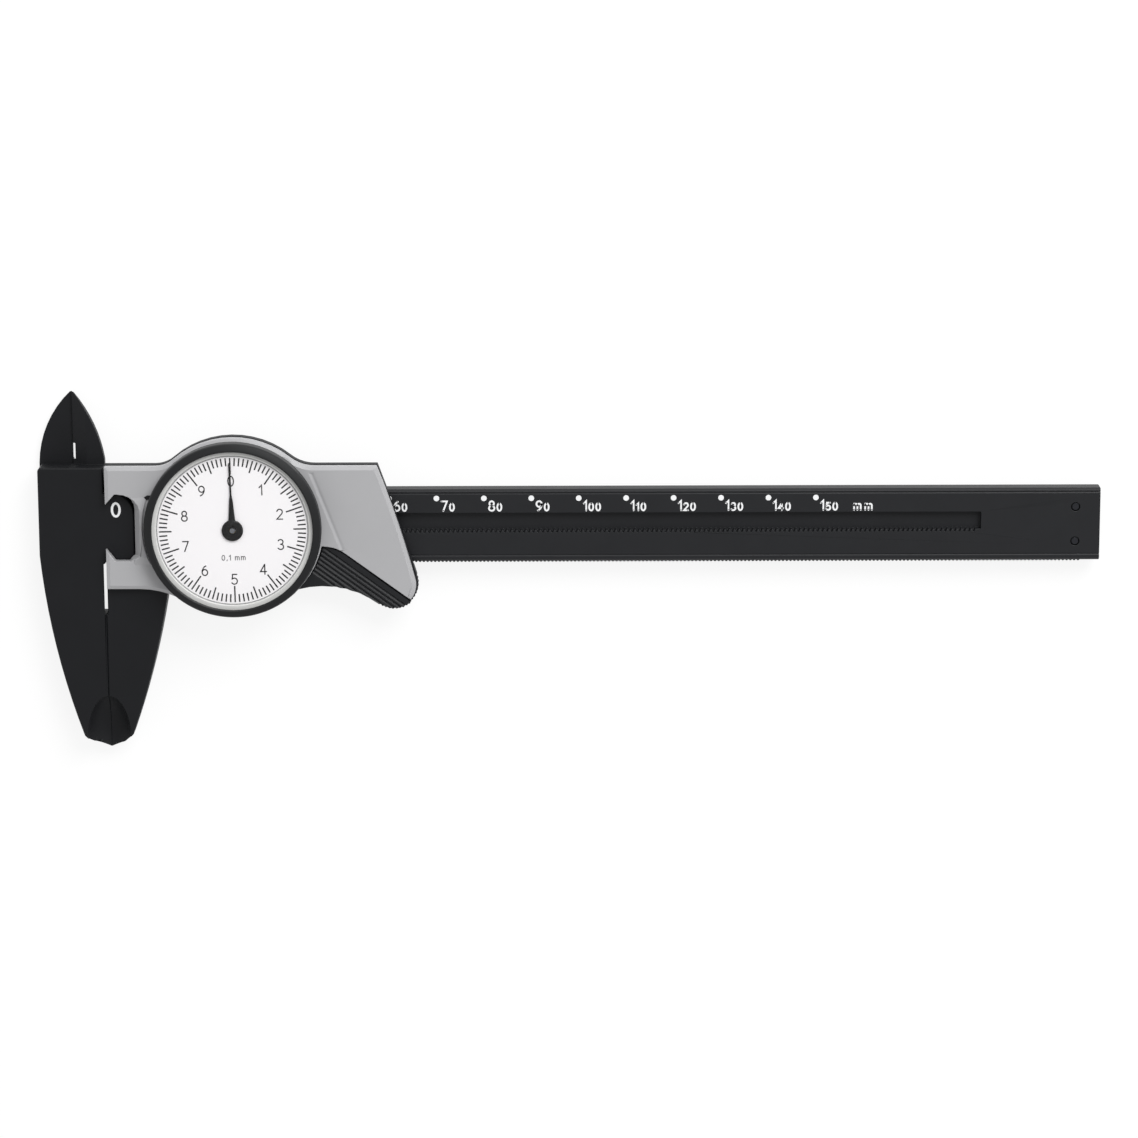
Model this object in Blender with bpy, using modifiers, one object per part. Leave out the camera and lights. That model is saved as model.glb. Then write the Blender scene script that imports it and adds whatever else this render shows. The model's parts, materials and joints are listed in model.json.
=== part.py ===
"""Dial caliper, 150 mm range, 10 mm to one turn of the pointer.

All sizes below are in millimetres. The drawing's zero is the plane where the two outside jaws
meet, on the beam's centre line, at the plane that the caliper lies on. X runs along the beam to
its free end, Y towards the inside jaws, Z out of the dial. The model's own origin is the middle
of its footprint.
"""
import math

import bmesh
import bpy
from mathutils import Matrix, Vector

MM = 0.001
GRID = 1e-7
WELD = 4e-7
LEVEL_TOLERANCE = 1e-7

# How far cutters stand out of what they cut, and joined pieces reach into each other
OVERCUT = 1.0
OVERLAP = 0.3

# Steps round a circle
DIAL_SEGMENTS = 56
BORE_SEGMENTS = 24
SMALL_SEGMENTS = 16

# Clearances
RUN_GAP = 0.3
SEAT_GAP = 0.15
JAW_GAP = 0.02
BORE_GAP = 0.15

# Beam and its rack
BEAM_END_X = 210.0
BEAM_HEIGHT = 15.5
BEAM_THICKNESS = 4.0
BEAM_CHAMFER = 0.45
SLIDE_BACK_WALL = 1.6
TRAVEL = 150.0
RACK_PITCH = 1.0
RACK_SLOT_DEPTH = 1.6
RACK_SLOT_TOP = 2.7
RACK_SLOT_START = 21.0
RACK_SLOT_END_CLEARANCE = 7.5
PINION_TEETH = 10
PRESSURE_ANGLE = math.radians(20.0)
RACK_ADDENDUM = 0.18
PINION_ADDENDUM = 0.318
TOOTH_ROOT_CLEARANCE = 0.1
TOOTH_BACKLASH = 0.05
FLANK_STEPS = 4
RULE_LINE_TOP = 6.9
RULE_LINE_BOTTOM = -6.45
RULE_LINE_WIDTH = 0.45
RULE_LINE_DEPTH = 0.2
LINE_PROUD = 0.05

# Depth rod
ROD_WIDTH = 3.0
ROD_THICKNESS = 1.1
ROD_TIP_WIDTH = 1.6
ROD_TIP_LENGTH = 3.0
ROD_OVERLAP_LENGTH = 22.0
ROD_STUD_RADIUS = 1.1
ROD_STUD_INSET = 3.0
ROD_STUD_SPACING = 10.0

# Fixed jaw, with the pad that fills the cover's window
MOULD_EDGE = 0.25
JAW_LEFT_X = -13.8
JAW_TIP_Y = -48.4
JAW_FRONT_Z = 7.7
JAW_SIDE_TOP_Y = -6.0
JAW_SIDE_MIDDLE = (-10.75, -26.0)
JAW_SIDE_LOW = (-5.3, -45.2)
JAW_SIDE_STEPS = 10
JAW_RELIEF = 0.3
JAW_RELIEF_LEAN = 0.65
JAW_RELIEF_END_Y = -18.7
JAW_NOSE = (-3.7, -46.75)
JAW_NOSE_RADIUS = 1.2
BODY_TOP_Y = 12.9
BODY_CORNER_RADIUS = 0.8
PAD_END_X = 6.3
PAD_HALF_HEIGHT = 7.45
PAD_CORNER_RADIUS = 4.4
PAD_CHAMFER = 1.6
SCOOP_WIDTH = 9.6
SCOOP_LENGTH = 19.0
SCOOP_CENTRE_Y = -45.7
SCOOP_DEPTH = 4.0
SCOOP_RISE = 1.0

# Inside blades
BLADE_TIP_Y = 28.3
BLADE_TIP_HALF = 0.45
BLADE_TIP_STEP = 0.15
BLADE_EDGE_X = -6.75
BLADE_ROOT_DEPTH = 2.0
FIXED_BLADE_THICKNESS = 2.0
BLADE_BEVEL_WIDTH = 3.0
BLADE_EDGE_THICKNESS = 0.35
BLADE_RELIEF_WIDTH = 0.55
BLADE_RELIEF_LENGTH = 3.4
BLADE_RELIEF_GAP = 1.0
FIXED_BLADE_MIDDLE = (-2.45, 22.0)
FIXED_BLADE_ROOT_X = 0.0
MOVING_BLADE_MIDDLE = (-11.75, 22.0)
MOVING_BLADE_ROOT_X = -14.0
BLADE_ARM_REACH = 0.9
BLADE_ARM_INSET = 0.4
BLADE_STEPS = 8

# Moving jaw
MOVING_JAW_TOP = (13.3, -13.0)
MOVING_JAW_MIDDLE = (9.4, -31.2)
MOVING_JAW_LOW = (5.1, -44.9)
MOVING_JAW_NOSE = (3.0, -47.1)
MOVING_JAW_ROOT_GAP = 0.5

# Dial, bezel and crystal
DIAL_X = 27.4
DIAL_Y = 0.45
SPIGOT_RADIUS = 17.0
SPIGOT_WALL = 1.8
SPIGOT_HEIGHT = 1.9
SPIGOT_EDGE = 0.15
SNAP_GROOVE_DEPTH = 0.35
SNAP_GROOVE_HEIGHT = 1.1
SNAP_GROOVE_LEVEL = 0.75
SNAP_WIRE_RADIUS = 0.25
SNAP_GAP_ANGLE = 24.0
SNAP_STEPS = 36
BEZEL_BORE_GAP = 0.4
BEZEL_WALL = 1.2
BEZEL_FOOT_INSET = 0.5
BEZEL_FOOT_HEIGHT = 0.6
BEZEL_RIM_HEIGHT = 1.6
BEZEL_HEIGHT = 3.75
BEZEL_LIP = 0.3
BEZEL_LIP_REACH = 0.55
BEZEL_LIP_EDGE = 0.15
BEZEL_DOME_STEPS = 4
DIAL_THICKNESS = 0.25
DIAL_HOLE_RADIUS = 1.0
SPACER_THICKNESS = 0.45
SPACER_WIDTH = 1.35
SPACER_SLOPE = 0.45
SPACER_EDGE = 0.15
CRYSTAL_THICKNESS = 0.45
CRYSTAL_BEVEL = 0.2

# Slide body
CHANNEL_WALL = 1.55
FLANGE_THICKNESS = 2.1
FLANGE_LEFT_X = 0.35
FLANGE_TOP_Y = 13.6
FLANGE_BOTTOM_Y = -12.9
BACK_END_X = 50.0
BULGE_WIDTH = 0.6
BULGE_FILLET_TOP_LEFT = 6.0
BULGE_FILLET_TOP_RIGHT = 8.0
BULGE_FILLET_BOTTOM = 18.0
BULGE_FILLET_STEPS = 5
BULGE_TOP_STEPS = 12
BULGE_BOTTOM_STEPS = 10
RIGHT_TOP_X = 57.7
RIGHT_MIDDLE = (62.1, 1.2)
RIGHT_STEPS = 6
LOBE_CENTRE = (60.85, -12.1)
LOBE_RADIUS = 5.3
LOBE_START_ANGLE = 20.0
LOBE_END_ANGLE = -126.0
LOBE_STEPS = 12
GRIP_PITCH = 0.8
GRIP_DEPTH = 0.22
THUMB_MIDDLE = (49.3, -12.85)
THUMB_LEFT_ANGLE = -46.5
THUMB_STEPS = 7
THUMB_TOP_Z = 9.4
THUMB_BACK_Z = 3.0
THUMB_FLAT_WIDTH = 0.9
THUMB_SLOPE = math.radians(11.0)
THUMB_SLOPE_BLOCK = (-15.0, 30.0, -25.0, 0.0, 0.0, 8.0)
THUMB_SLOPE_REACH = 4.0
THUMB_RIB_COUNT = 7
THUMB_RIB_PITCH = 0.95
THUMB_RIB_DEPTH = 0.4
THUMB_RIB_START = -5.1
THUMB_RIB_RAKE = 0.3
THUMB_RIB_END = 30.0
RIB_PROUD = 0.02
DIAGONAL_START = (44.0, -3.35)
DIAGONAL_KNEE = (49.2, -4.0)
DIAGONAL_END = (66.0, -16.3)
DIAGONAL_KNEE_RADIUS = 7.0
THUMB_ZONE_MARGIN = 5.0
THUMB_ZONE_LEFT = 0.4

# Cover
COVER_THICKNESS = 1.8
COVER_WALL = 1.2
COVER_SKIN = 1.1
COVER_RIM_WIDTH = 0.8
COVER_RIM_DROP = 0.4
COVER_INSET = 0.1
COVER_LOBE_INSET = 0.5
COVER_SHARP_ANGLE = 14.0
NOTCH_TOP_Y = 7.6
NOTCH_BOTTOM_Y = -6.7
NOTCH_END_X = 6.5
NOTCH_HOOK_TOP = 5.4
NOTCH_HOOK_BOTTOM = -4.3
NOTCH_HOOK_REACH = 1.9
NOTCH_HOOK_INSET = 0.2
NOTCH_CORNER_RADIUS = 3.4
NOTCH_CHAMFER = 1.2
NOTCH_LEAN = 0.54
WINDOW_FRAME_START_X = 4.5
WINDOW_FRAME_SLANT = 0.145
WINDOW_FRAME_TOP = 7.1
WINDOW_FRAME_BOTTOM = -7.4
WINDOW_FRAME_RISE = 0.6
WINDOW_FRAME_SLOPE_TOP = 3.0
WINDOW_FRAME_SLOPE_BOTTOM = 1.6
CREASE_TOP = (43.9, 12.2)
CREASE_BOTTOM = (50.3, -4.4)
CREASE_LEFT_WIDTH = 0.6
CREASE_RIGHT_WIDTH = 0.7
CREASE_DEPTH = 0.2
SCREW_PLACES = ((5.0, 11.2), (52.0, 11.0), (5.0, -11.0))
SCREW_RADIUS = 0.7
SCREW_HEAD_RADIUS = 1.3
SCREW_HEAD_HEIGHT = 0.9
SCREW_HEAD_EDGE = 0.3
SCREW_SOCKET_RADIUS = 0.45
SCREW_GRIP = 1.3
BOSS_WALL = 0.9

# Pointer and arbor
ARBOR_RADIUS = 0.55
ARBOR_PROUD = 0.1
PINION_FACE = 1.3
HUB_RADIUS = 2.25
HUB_SEGMENTS = 40
HUB_EDGE = 0.2
POINTER_THICKNESS = 0.35
POINTER_TIP_GAP = 1.35
POINTER_WAIST = 6.4
POINTER_WAIST_TAPER = 1.2
POINTER_ROOT_WIDTH = 1.5
POINTER_WAIST_WIDTH = 0.75
POINTER_TIP_WIDTH = 0.36
NEEDLE_LIFT = 0.05
POINTER_REST_ANGLE = math.radians(1.65)

# Movement
PLATE_CORNER_GAP = 2.0
PLATE_CORNER_RADIUS = 2.0
PLATE_WIDTH = 11.0
PLATE_THICKNESS = 1.0
PLATE_SCREW_INSET = 2.4
PLATE_SCREW_Y = 3.4
PILLAR_INSET = 5.0
PILLAR_RADIUS = 1.6
BRIDGE_THICKNESS = 0.8
BRIDGE_WIDTH = 4.4
BUSH_RADIUS = 1.4
BUSH_FLANGE_RADIUS = 2.0
BUSH_FLANGE_HEIGHT = 0.35
SMALL_HEAD_RADIUS = 1.15
SMALL_HEAD_HEIGHT = 0.4
SMALL_SCREW_RADIUS = 0.5
DRIVER_SLOT_WIDTH = 0.24
DRIVER_SLOT_DEPTH = 0.15
LEAF_THICKNESS = 0.25
LEAF_HEIGHT = 0.8
MESH_SPRING_INSET = 2.5
MESH_SPRING_STEPS = 14

# Slide spring, end stop and its pins
SLIDE_SPRING_START_X = 10.0
SLIDE_SPRING_LENGTH = 34.0
SLIDE_SPRING_POCKET = 0.75
SLIDE_SPRING_HEIGHT = 2.2
SLIDE_SPRING_STEPS = 12
END_STOP_LENGTH = 8.8
END_STOP_HEIGHT = 13.0
END_STOP_GAP = 0.5
END_STOP_CORNER = 0.8
STOP_PIN_X = 204.8
STOP_PIN_Y = 3.7
STOP_PIN_RADIUS = 0.8
STOP_PIN_EDGE = 0.2
STOP_PIN_SINK = 0.05
STOP_PIN_HEAD_RADIUS = 1.4
STOP_PIN_HEAD_HEIGHT = 0.6

# Levels and places worked out from the sizes above
BEAM_BACK_Z = SLIDE_BACK_WALL + RUN_GAP
BEAM_FRONT_Z = BEAM_BACK_Z + BEAM_THICKNESS
BEAM_HALF = BEAM_HEIGHT / 2.0
CHANNEL_HALF = BEAM_HALF + RUN_GAP
CHANNEL_FRONT_Z = BEAM_FRONT_Z + RUN_GAP
CHANNEL_OUTSIDE = CHANNEL_HALF + CHANNEL_WALL
FLANGE_BACK_Z = JAW_FRONT_Z - FLANGE_THICKNESS
COVER_BACK_Z = JAW_FRONT_Z + RUN_GAP
COVER_FRONT_Z = COVER_BACK_Z + COVER_THICKNESS
MOVEMENT_BAY_RADIUS = SPIGOT_RADIUS - SPIGOT_WALL
SPIGOT_TOP_Z = COVER_FRONT_Z + SPIGOT_HEIGHT
SNAP_MIDDLE_Z = COVER_FRONT_Z + RUN_GAP + SNAP_GROOVE_LEVEL
BEZEL_BORE_RADIUS = SPIGOT_RADIUS + BEZEL_BORE_GAP
BEZEL_RADIUS = BEZEL_BORE_RADIUS + BEZEL_WALL
BEZEL_FOOT_RADIUS = BEZEL_RADIUS - BEZEL_FOOT_INSET
BEZEL_OPENING_RADIUS = BEZEL_BORE_RADIUS - BEZEL_LIP_REACH
BEZEL_BACK_Z = COVER_FRONT_Z + RUN_GAP
BEZEL_FRONT_Z = BEZEL_BACK_Z + BEZEL_HEIGHT
BULGE_RADIUS = BEZEL_RADIUS + BULGE_WIDTH
DISC_RADIUS = BEZEL_BORE_RADIUS - RUN_GAP
CRYSTAL_FRONT_Z = BEZEL_FRONT_Z - BEZEL_LIP - SEAT_GAP
CRYSTAL_BACK_Z = CRYSTAL_FRONT_Z - CRYSTAL_THICKNESS
DIAL_BACK_Z = SPIGOT_TOP_Z + RUN_GAP
DIAL_FRONT_Z = DIAL_BACK_Z + DIAL_THICKNESS
SPACER_INNER_RADIUS = DISC_RADIUS - SPACER_WIDTH
POINTER_BACK_Z = DIAL_FRONT_Z + SEAT_GAP
POINTER_FRONT_Z = POINTER_BACK_Z + POINTER_THICKNESS
POINTER_REACH = SPACER_INNER_RADIUS - POINTER_TIP_GAP
PINION_BACK_Z = BEAM_FRONT_Z - RACK_SLOT_DEPTH + SEAT_GAP
PLATE_BACK_Z = JAW_FRONT_Z + RUN_GAP
PLATE_FRONT_Z = PLATE_BACK_Z + PLATE_THICKNESS
PLATE_HALF = math.sqrt((MOVEMENT_BAY_RADIUS - PLATE_CORNER_GAP) ** 2 - (PLATE_WIDTH / 2.0) ** 2)
PLATE_SCREW_X = PLATE_HALF - PLATE_SCREW_INSET
PILLAR_X = PLATE_HALF - PILLAR_INSET
SMALL_SCREW_TOP_Z = DIAL_BACK_Z - RUN_GAP
BRIDGE_FRONT_Z = SMALL_SCREW_TOP_Z - SMALL_HEAD_HEIGHT - SEAT_GAP
BRIDGE_BACK_Z = BRIDGE_FRONT_Z - BRIDGE_THICKNESS
PITCH_RADIUS = PINION_TEETH * RACK_PITCH / (2.0 * math.pi)
RACK_LINE_Y = DIAL_Y - PITCH_RADIUS
RACK_SLOT_END = DIAL_X + TRAVEL + RACK_SLOT_END_CLEARANCE
ROD_START_X = BACK_END_X - ROD_OVERLAP_LENGTH
END_STOP_X = BACK_END_X + TRAVEL + END_STOP_GAP
SLIDE_RIGHT_X = LOBE_CENTRE[0] + 2.0 * LOBE_RADIUS
MODEL_MIDDLE_X = (BEAM_END_X + MOVING_BLADE_ROOT_X) / 2.0
MODEL_MIDDLE_Y = (BLADE_TIP_Y + JAW_TIP_Y) / 2.0

BLACK = (0.021, 0.021, 0.024)
SILVER = (0.43, 0.43, 0.42)
WHITE = (0.90, 0.88, 0.92)


def clear_scene():
    """Empty the scene of whatever it opened with."""
    for item in list(bpy.data.objects):
        bpy.data.objects.remove(item, do_unlink=True)


def make_material(name, color, roughness, metallic=0.0, alpha=1.0):
    """A Principled material with plain values."""
    material = bpy.data.materials.new(name)
    material.use_nodes = True
    shader = material.node_tree.nodes["Principled BSDF"]
    shader.inputs["Base Color"].default_value = (*color, 1.0)
    shader.inputs["Roughness"].default_value = roughness
    shader.inputs["Metallic"].default_value = metallic
    shader.inputs["Alpha"].default_value = alpha
    return material


def arc(centre, radius, start, end, steps):
    """Points on a circle from one angle to another, in degrees, both ends included."""
    points = []
    for index in range(steps + 1):
        angle = math.radians(start + (end - start) * index / steps)
        points.append((centre[0] + radius * math.cos(angle), centre[1] + radius * math.sin(angle)))
    return points


def arc_through(first, middle, last, steps):
    """Points on the circle through three points, from the first to the last."""
    a, b, c = (Vector(point) for point in (first, middle, last))
    d = 2.0 * (a.x * (b.y - c.y) + b.x * (c.y - a.y) + c.x * (a.y - b.y))
    squares = (a.length_squared, b.length_squared, c.length_squared)
    centre = Vector((
        (squares[0] * (b.y - c.y) + squares[1] * (c.y - a.y) + squares[2] * (a.y - b.y)) / d,
        (squares[0] * (c.x - b.x) + squares[1] * (a.x - c.x) + squares[2] * (b.x - a.x)) / d,
    ))
    start = angle_of(centre, a)
    through = (angle_of(centre, b) - start) % 360.0
    sweep = (angle_of(centre, c) - start) % 360.0
    if through > sweep:
        sweep -= 360.0
    return arc(centre, (a - centre).length, start, start + sweep, steps)


def angle_of(centre, point):
    """The direction from a centre to a point, in degrees."""
    return math.degrees(math.atan2(point[1] - centre[1], point[0] - centre[0]))


def rounded(corners, steps=4):
    """A closed outline from corners (x, y, radius), each corner rounded to its radius."""
    points = []
    count = len(corners)
    for index, (x, y, radius) in enumerate(corners):
        here = Vector((x, y))
        if radius <= 0.0:
            points.append((x, y))
            continue
        back = (Vector(corners[index - 1][:2]) - here).normalized()
        ahead = (Vector(corners[(index + 1) % count][:2]) - here).normalized()
        half = back.angle(ahead) / 2.0
        centre = here + (back + ahead).normalized() * (radius / math.sin(half))
        start = here + back * (radius / math.tan(half)) - centre
        end = here + ahead * (radius / math.tan(half)) - centre
        turn = start.angle_signed(end)
        for step in range(steps + 1):
            offset = start.copy()
            offset.rotate(Matrix.Rotation(-turn * step / steps, 2))
            points.append(tuple(centre + offset))
    return points


def box_outline(half_x, half_y, radius, steps=4):
    """A rectangle about the origin with rounded corners."""
    corners = [(-half_x, -half_y, radius), (half_x, -half_y, radius)]
    corners += [(half_x, half_y, radius), (-half_x, half_y, radius)]
    return rounded(corners, steps)


def replace_mesh(item, mesh):
    """Give an object a new mesh and drop its modifiers."""
    old = item.data
    item.modifiers.clear()
    item.data = mesh
    bpy.data.meshes.remove(old)


def evaluated_mesh(item):
    """The mesh of an object with its modifiers applied."""
    bpy.context.view_layer.update()
    graph = bpy.context.evaluated_depsgraph_get()
    return bpy.data.meshes.new_from_object(item.evaluated_get(graph))


def link(item):
    """Put an object in the scene's working collection."""
    bpy.context.scene.collection.objects.link(item)
    return item


def curve_mesh(curve):
    """The mesh that a curve makes."""
    guide = link(bpy.data.objects.new("guide", curve))
    mesh = evaluated_mesh(guide)
    bpy.data.objects.remove(guide, do_unlink=True)
    return mesh


def poly_spline(curve, points, level=0.0):
    """Add a spline of straight runs through plan points at one level."""
    spline = curve.splines.new("POLY")
    spline.points.add(len(points) - 1)
    for point, (x, y) in zip(spline.points, points):
        point.co = (x * MM, y * MM, level * MM, 1.0)
    return spline


def tidy_mesh(mesh):
    """Weld the seams of a closed mesh and point its faces outwards."""
    work = bmesh.new()
    work.from_mesh(mesh)
    bmesh.ops.remove_doubles(work, verts=work.verts, dist=GRID)
    bmesh.ops.recalc_face_normals(work, faces=work.faces)
    work.to_mesh(mesh)
    work.free()


def plate(name, outline, back, front, edge=0.0, rim=(0.0, 0.0)):
    """A flat piece: a filled outline from one level to another.

    Its front edge is chamfered by edge, or its front face rises inwards by rim's drop over rim's width.
    """
    wall_top = front - rim[1]
    curve = bpy.data.curves.new(name, "CURVE")
    curve.dimensions = "2D"
    curve.fill_mode = "BOTH"
    curve.extrude = (wall_top - back) / 2.0 * MM
    poly_spline(curve, outline).use_cyclic_u = True
    mesh = curve_mesh(curve)
    mesh.transform(Matrix.Translation((0.0, 0.0, (wall_top + back) / 2.0 * MM)))
    work = bmesh.new()
    work.from_mesh(mesh)
    bmesh.ops.remove_doubles(work, verts=work.verts, dist=GRID)
    if edge > 0.0 or rim[0] > 0.0:
        bmesh.ops.dissolve_limit(work, angle_limit=math.radians(0.1), verts=work.verts, edges=work.edges)
    if edge > 0.0:
        top = [item for item in work.edges if all(is_level(vert, wall_top) for vert in item.verts)]
        bmesh.ops.bevel(work, geom=top, offset=edge * MM, segments=1, affect="EDGES")
    if rim[0] > 0.0:
        bmesh.ops.recalc_face_normals(work, faces=work.faces)
        top = [face for face in work.faces if all(is_level(vert, wall_top) for vert in face.verts)]
        width, rise = rim
        bmesh.ops.inset_region(work, faces=top, thickness=width * MM, depth=rise * MM, use_even_offset=True)
    bmesh.ops.recalc_face_normals(work, faces=work.faces)
    work.to_mesh(mesh)
    work.free()
    return link(bpy.data.objects.new(name, mesh))


def is_level(vert, level):
    """True if a mesh point lies at a level."""
    return abs(vert.co.z - level * MM) < LEVEL_TOLERANCE


def bar(name, section, start, end, level=0.0):
    """A straight bar with a section of (across, up) points, between two plan points at a level.

    Across counts to the left of the way it runs.
    """
    run = Vector(end) - Vector(start)
    item = plate(name, section, 0.0, run.length)
    x, y = run.normalized()
    turn = Matrix(((-y, 0.0, x, start[0] * MM), (x, 0.0, y, start[1] * MM), (0.0, 1.0, 0.0, level * MM),
                   (0.0, 0.0, 0.0, 1.0)))
    item.data.transform(turn)
    return item


def turned(name, profile, segments=DIAL_SEGMENTS):
    """A turned piece: a closed profile of (radius, height) spun about the Z axis."""
    mesh = bpy.data.meshes.new(name)
    vertices = [(radius * MM, 0.0, height * MM) for radius, height in profile]
    edges = [(index, index + 1) for index in range(len(vertices) - 1)]
    if profile[0][0] > 0.0:
        edges.append((len(vertices) - 1, 0))
    mesh.from_pydata(vertices, edges, [])
    item = link(bpy.data.objects.new(name, mesh))
    screw = item.modifiers.new("Turn", "SCREW")
    screw.angle = 2.0 * math.pi
    screw.steps = segments
    screw.render_steps = segments
    screw.use_merge_vertices = True
    screw.merge_threshold = GRID
    replace_mesh(item, evaluated_mesh(item))
    tidy_mesh(item.data)
    return item


def rod(name, x, y, radius, back, front, segments=BORE_SEGMENTS):
    """A round bar along Z."""
    return shifted(turned(name, [(0.0, back), (radius, back), (radius, front), (0.0, front)], segments), x, y)


def block(name, x0, x1, y0, y1, back, front):
    """A square-cornered block, from the cube primitive."""
    mesh = bpy.data.meshes.new(name)
    work = bmesh.new()
    bmesh.ops.create_cube(work, size=1.0)
    size = Matrix.Diagonal(((x1 - x0) * MM, (y1 - y0) * MM, (front - back) * MM, 1.0))
    middle = Vector(((x0 + x1) / 2.0, (y0 + y1) / 2.0, (back + front) / 2.0)) * MM
    work.transform(Matrix.Translation(middle) @ size)
    work.to_mesh(mesh)
    work.free()
    return link(bpy.data.objects.new(name, mesh))


def shifted(item, x=0.0, y=0.0, z=0.0):
    """Move an object's mesh, in millimetres."""
    item.data.transform(Matrix.Translation((x * MM, y * MM, z * MM)))
    return item


def settle(item):
    """Round a mesh's points to a fine grid, so that faces on one level are exactly level."""
    for vertex in item.data.vertices:
        vertex.co = [round(value / GRID) * GRID for value in vertex.co]


def combine(item, tool, operation):
    """Join, cut or keep the common part of two closed meshes; the tool is used up."""
    settle(item)
    settle(tool)
    boolean = item.modifiers.new("Boolean", "BOOLEAN")
    boolean.operation = operation
    boolean.object = tool
    replace_mesh(item, evaluated_mesh(item))
    bpy.data.objects.remove(tool, do_unlink=True)
    work = bmesh.new()
    work.from_mesh(item.data)
    bmesh.ops.remove_doubles(work, verts=work.verts, dist=WELD)
    bmesh.ops.dissolve_degenerate(work, dist=WELD, edges=work.edges)
    slits = [edge for edge in work.edges if len(edge.link_faces) == 1]
    bmesh.ops.holes_fill(work, edges=slits, sides=8)
    work.to_mesh(item.data)
    work.free()
    return item


def join(item, *tools):
    """Join further closed meshes to an object."""
    for tool in tools:
        combine(item, tool, "UNION")
    return item


def cut(item, *tools):
    """Cut closed meshes out of an object."""
    for tool in tools:
        combine(item, tool, "DIFFERENCE")
    return item


def finish(item, material, parent, smooth=30.0):
    """Clean the mesh, give it its material and parent, and shade its round faces smooth."""
    work = bmesh.new()
    work.from_mesh(item.data)
    bmesh.ops.dissolve_limit(work, angle_limit=math.radians(0.05), verts=work.verts, edges=work.edges)
    bmesh.ops.triangulate(work, faces=work.faces)
    work.to_mesh(item.data)
    work.free()
    item.data.materials.clear()
    item.data.materials.append(material)
    item.data.shade_smooth()
    item.data.set_sharp_from_angle(angle=math.radians(smooth))
    bpy.context.scene.collection.objects.unlink(item)
    PARTS.objects.link(item)
    item.parent = parent
    return item


def bulge_fillet(side, edge_y, radius, fillet, outward):
    """The fillet between a level edge and the round bulge, run from the edge or back to it."""
    up = 1.0 if edge_y > DIAL_Y else -1.0
    rise = abs(edge_y - DIAL_Y) + fillet
    run = math.sqrt((radius + fillet) ** 2 - rise ** 2)
    centre = (DIAL_X + side * run, DIAL_Y + up * rise)
    start = -90.0 * up
    end = angle_of(centre, (DIAL_X, DIAL_Y))
    sweep = (end - start + 180.0) % 360.0 - 180.0
    points = arc(centre, fillet, start, start + sweep, BULGE_FILLET_STEPS)
    return points if outward else points[::-1]


def bulge_between(first, last, radius, steps):
    """The bulge's points between two points that it meets, both left out."""
    centre = (DIAL_X, DIAL_Y)
    return arc(centre, radius, angle_of(centre, first), angle_of(centre, last), steps)[1:-1]


def grip_arc(centre, radius, start, end, depth):
    """A round edge with fine grip teeth along it."""
    length = math.radians(abs(end - start)) * radius
    teeth = max(2, round(length / GRIP_PITCH))
    points = []
    for index in range(2 * teeth + 1):
        angle = math.radians(start + (end - start) * index / (2 * teeth))
        reach = radius - depth * (index % 2)
        points.append((centre[0] + reach * math.cos(angle), centre[1] + reach * math.sin(angle)))
    return points


def slide_outline(inset, lobe_inset, grip_depth):
    """The outline that the slide's flange and its cover share, clockwise from the top left."""
    top = FLANGE_TOP_Y - inset
    bottom = FLANGE_BOTTOM_Y + inset
    bulge = BULGE_RADIUS - inset
    left = FLANGE_LEFT_X + inset
    top_left = bulge_fillet(-1.0, top, bulge, BULGE_FILLET_TOP_LEFT, True)
    top_right = bulge_fillet(1.0, top, bulge, BULGE_FILLET_TOP_RIGHT, False)
    points = [(left, bottom), (left, top)] + top_left
    points += bulge_between(top_left[-1], top_right[0], bulge, BULGE_TOP_STEPS) + top_right
    lobe = LOBE_RADIUS - lobe_inset
    lobe_first = arc(LOBE_CENTRE, lobe, LOBE_START_ANGLE, LOBE_START_ANGLE, 1)[0]
    side_middle = (RIGHT_MIDDLE[0] - inset, RIGHT_MIDDLE[1])
    points += arc_through((RIGHT_TOP_X - inset, top), side_middle, lobe_first, RIGHT_STEPS)[:-1]
    if grip_depth > 0.0:
        points += grip_arc(LOBE_CENTRE, lobe, LOBE_START_ANGLE, LOBE_END_ANGLE, grip_depth)
    else:
        points += arc(LOBE_CENTRE, lobe, LOBE_START_ANGLE, LOBE_END_ANGLE, LOBE_STEPS)
    thumb_left = arc((DIAL_X, DIAL_Y), bulge, THUMB_LEFT_ANGLE, THUMB_LEFT_ANGLE, 1)[0]
    thumb_middle = (THUMB_MIDDLE[0], THUMB_MIDDLE[1] + inset)
    points += arc_through(points[-1], thumb_middle, thumb_left, THUMB_STEPS)[1:]
    bottom_left = bulge_fillet(-1.0, bottom, bulge, BULGE_FILLET_BOTTOM, False)
    points += bulge_between(thumb_left, bottom_left[0], bulge, BULGE_BOTTOM_STEPS) + bottom_left
    return points


def thumb_zone(shift):
    """The area below the cover's diagonal edge, moved square to that edge by a shift."""
    run = Vector(DIAGONAL_END) - Vector(DIAGONAL_KNEE)
    across = Vector((run.y, -run.x)).normalized() * shift
    start = Vector(DIAGONAL_START) + Vector((0.0, -shift))
    knee = Vector(DIAGONAL_KNEE) + across
    end = Vector(DIAGONAL_END) + across
    low = FLANGE_BOTTOM_Y - LOBE_RADIUS - THUMB_ZONE_MARGIN
    left = DIAL_X + BULGE_RADIUS * math.cos(math.radians(THUMB_LEFT_ANGLE)) - THUMB_ZONE_LEFT
    corners = [(*start, 0.0), (*knee, DIAGONAL_KNEE_RADIUS), (*end, 0.0)]
    corners += [(end.x, low, 0.0), (left, low, 0.0), (left, start.y, 0.0)]
    return rounded(corners)


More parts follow.
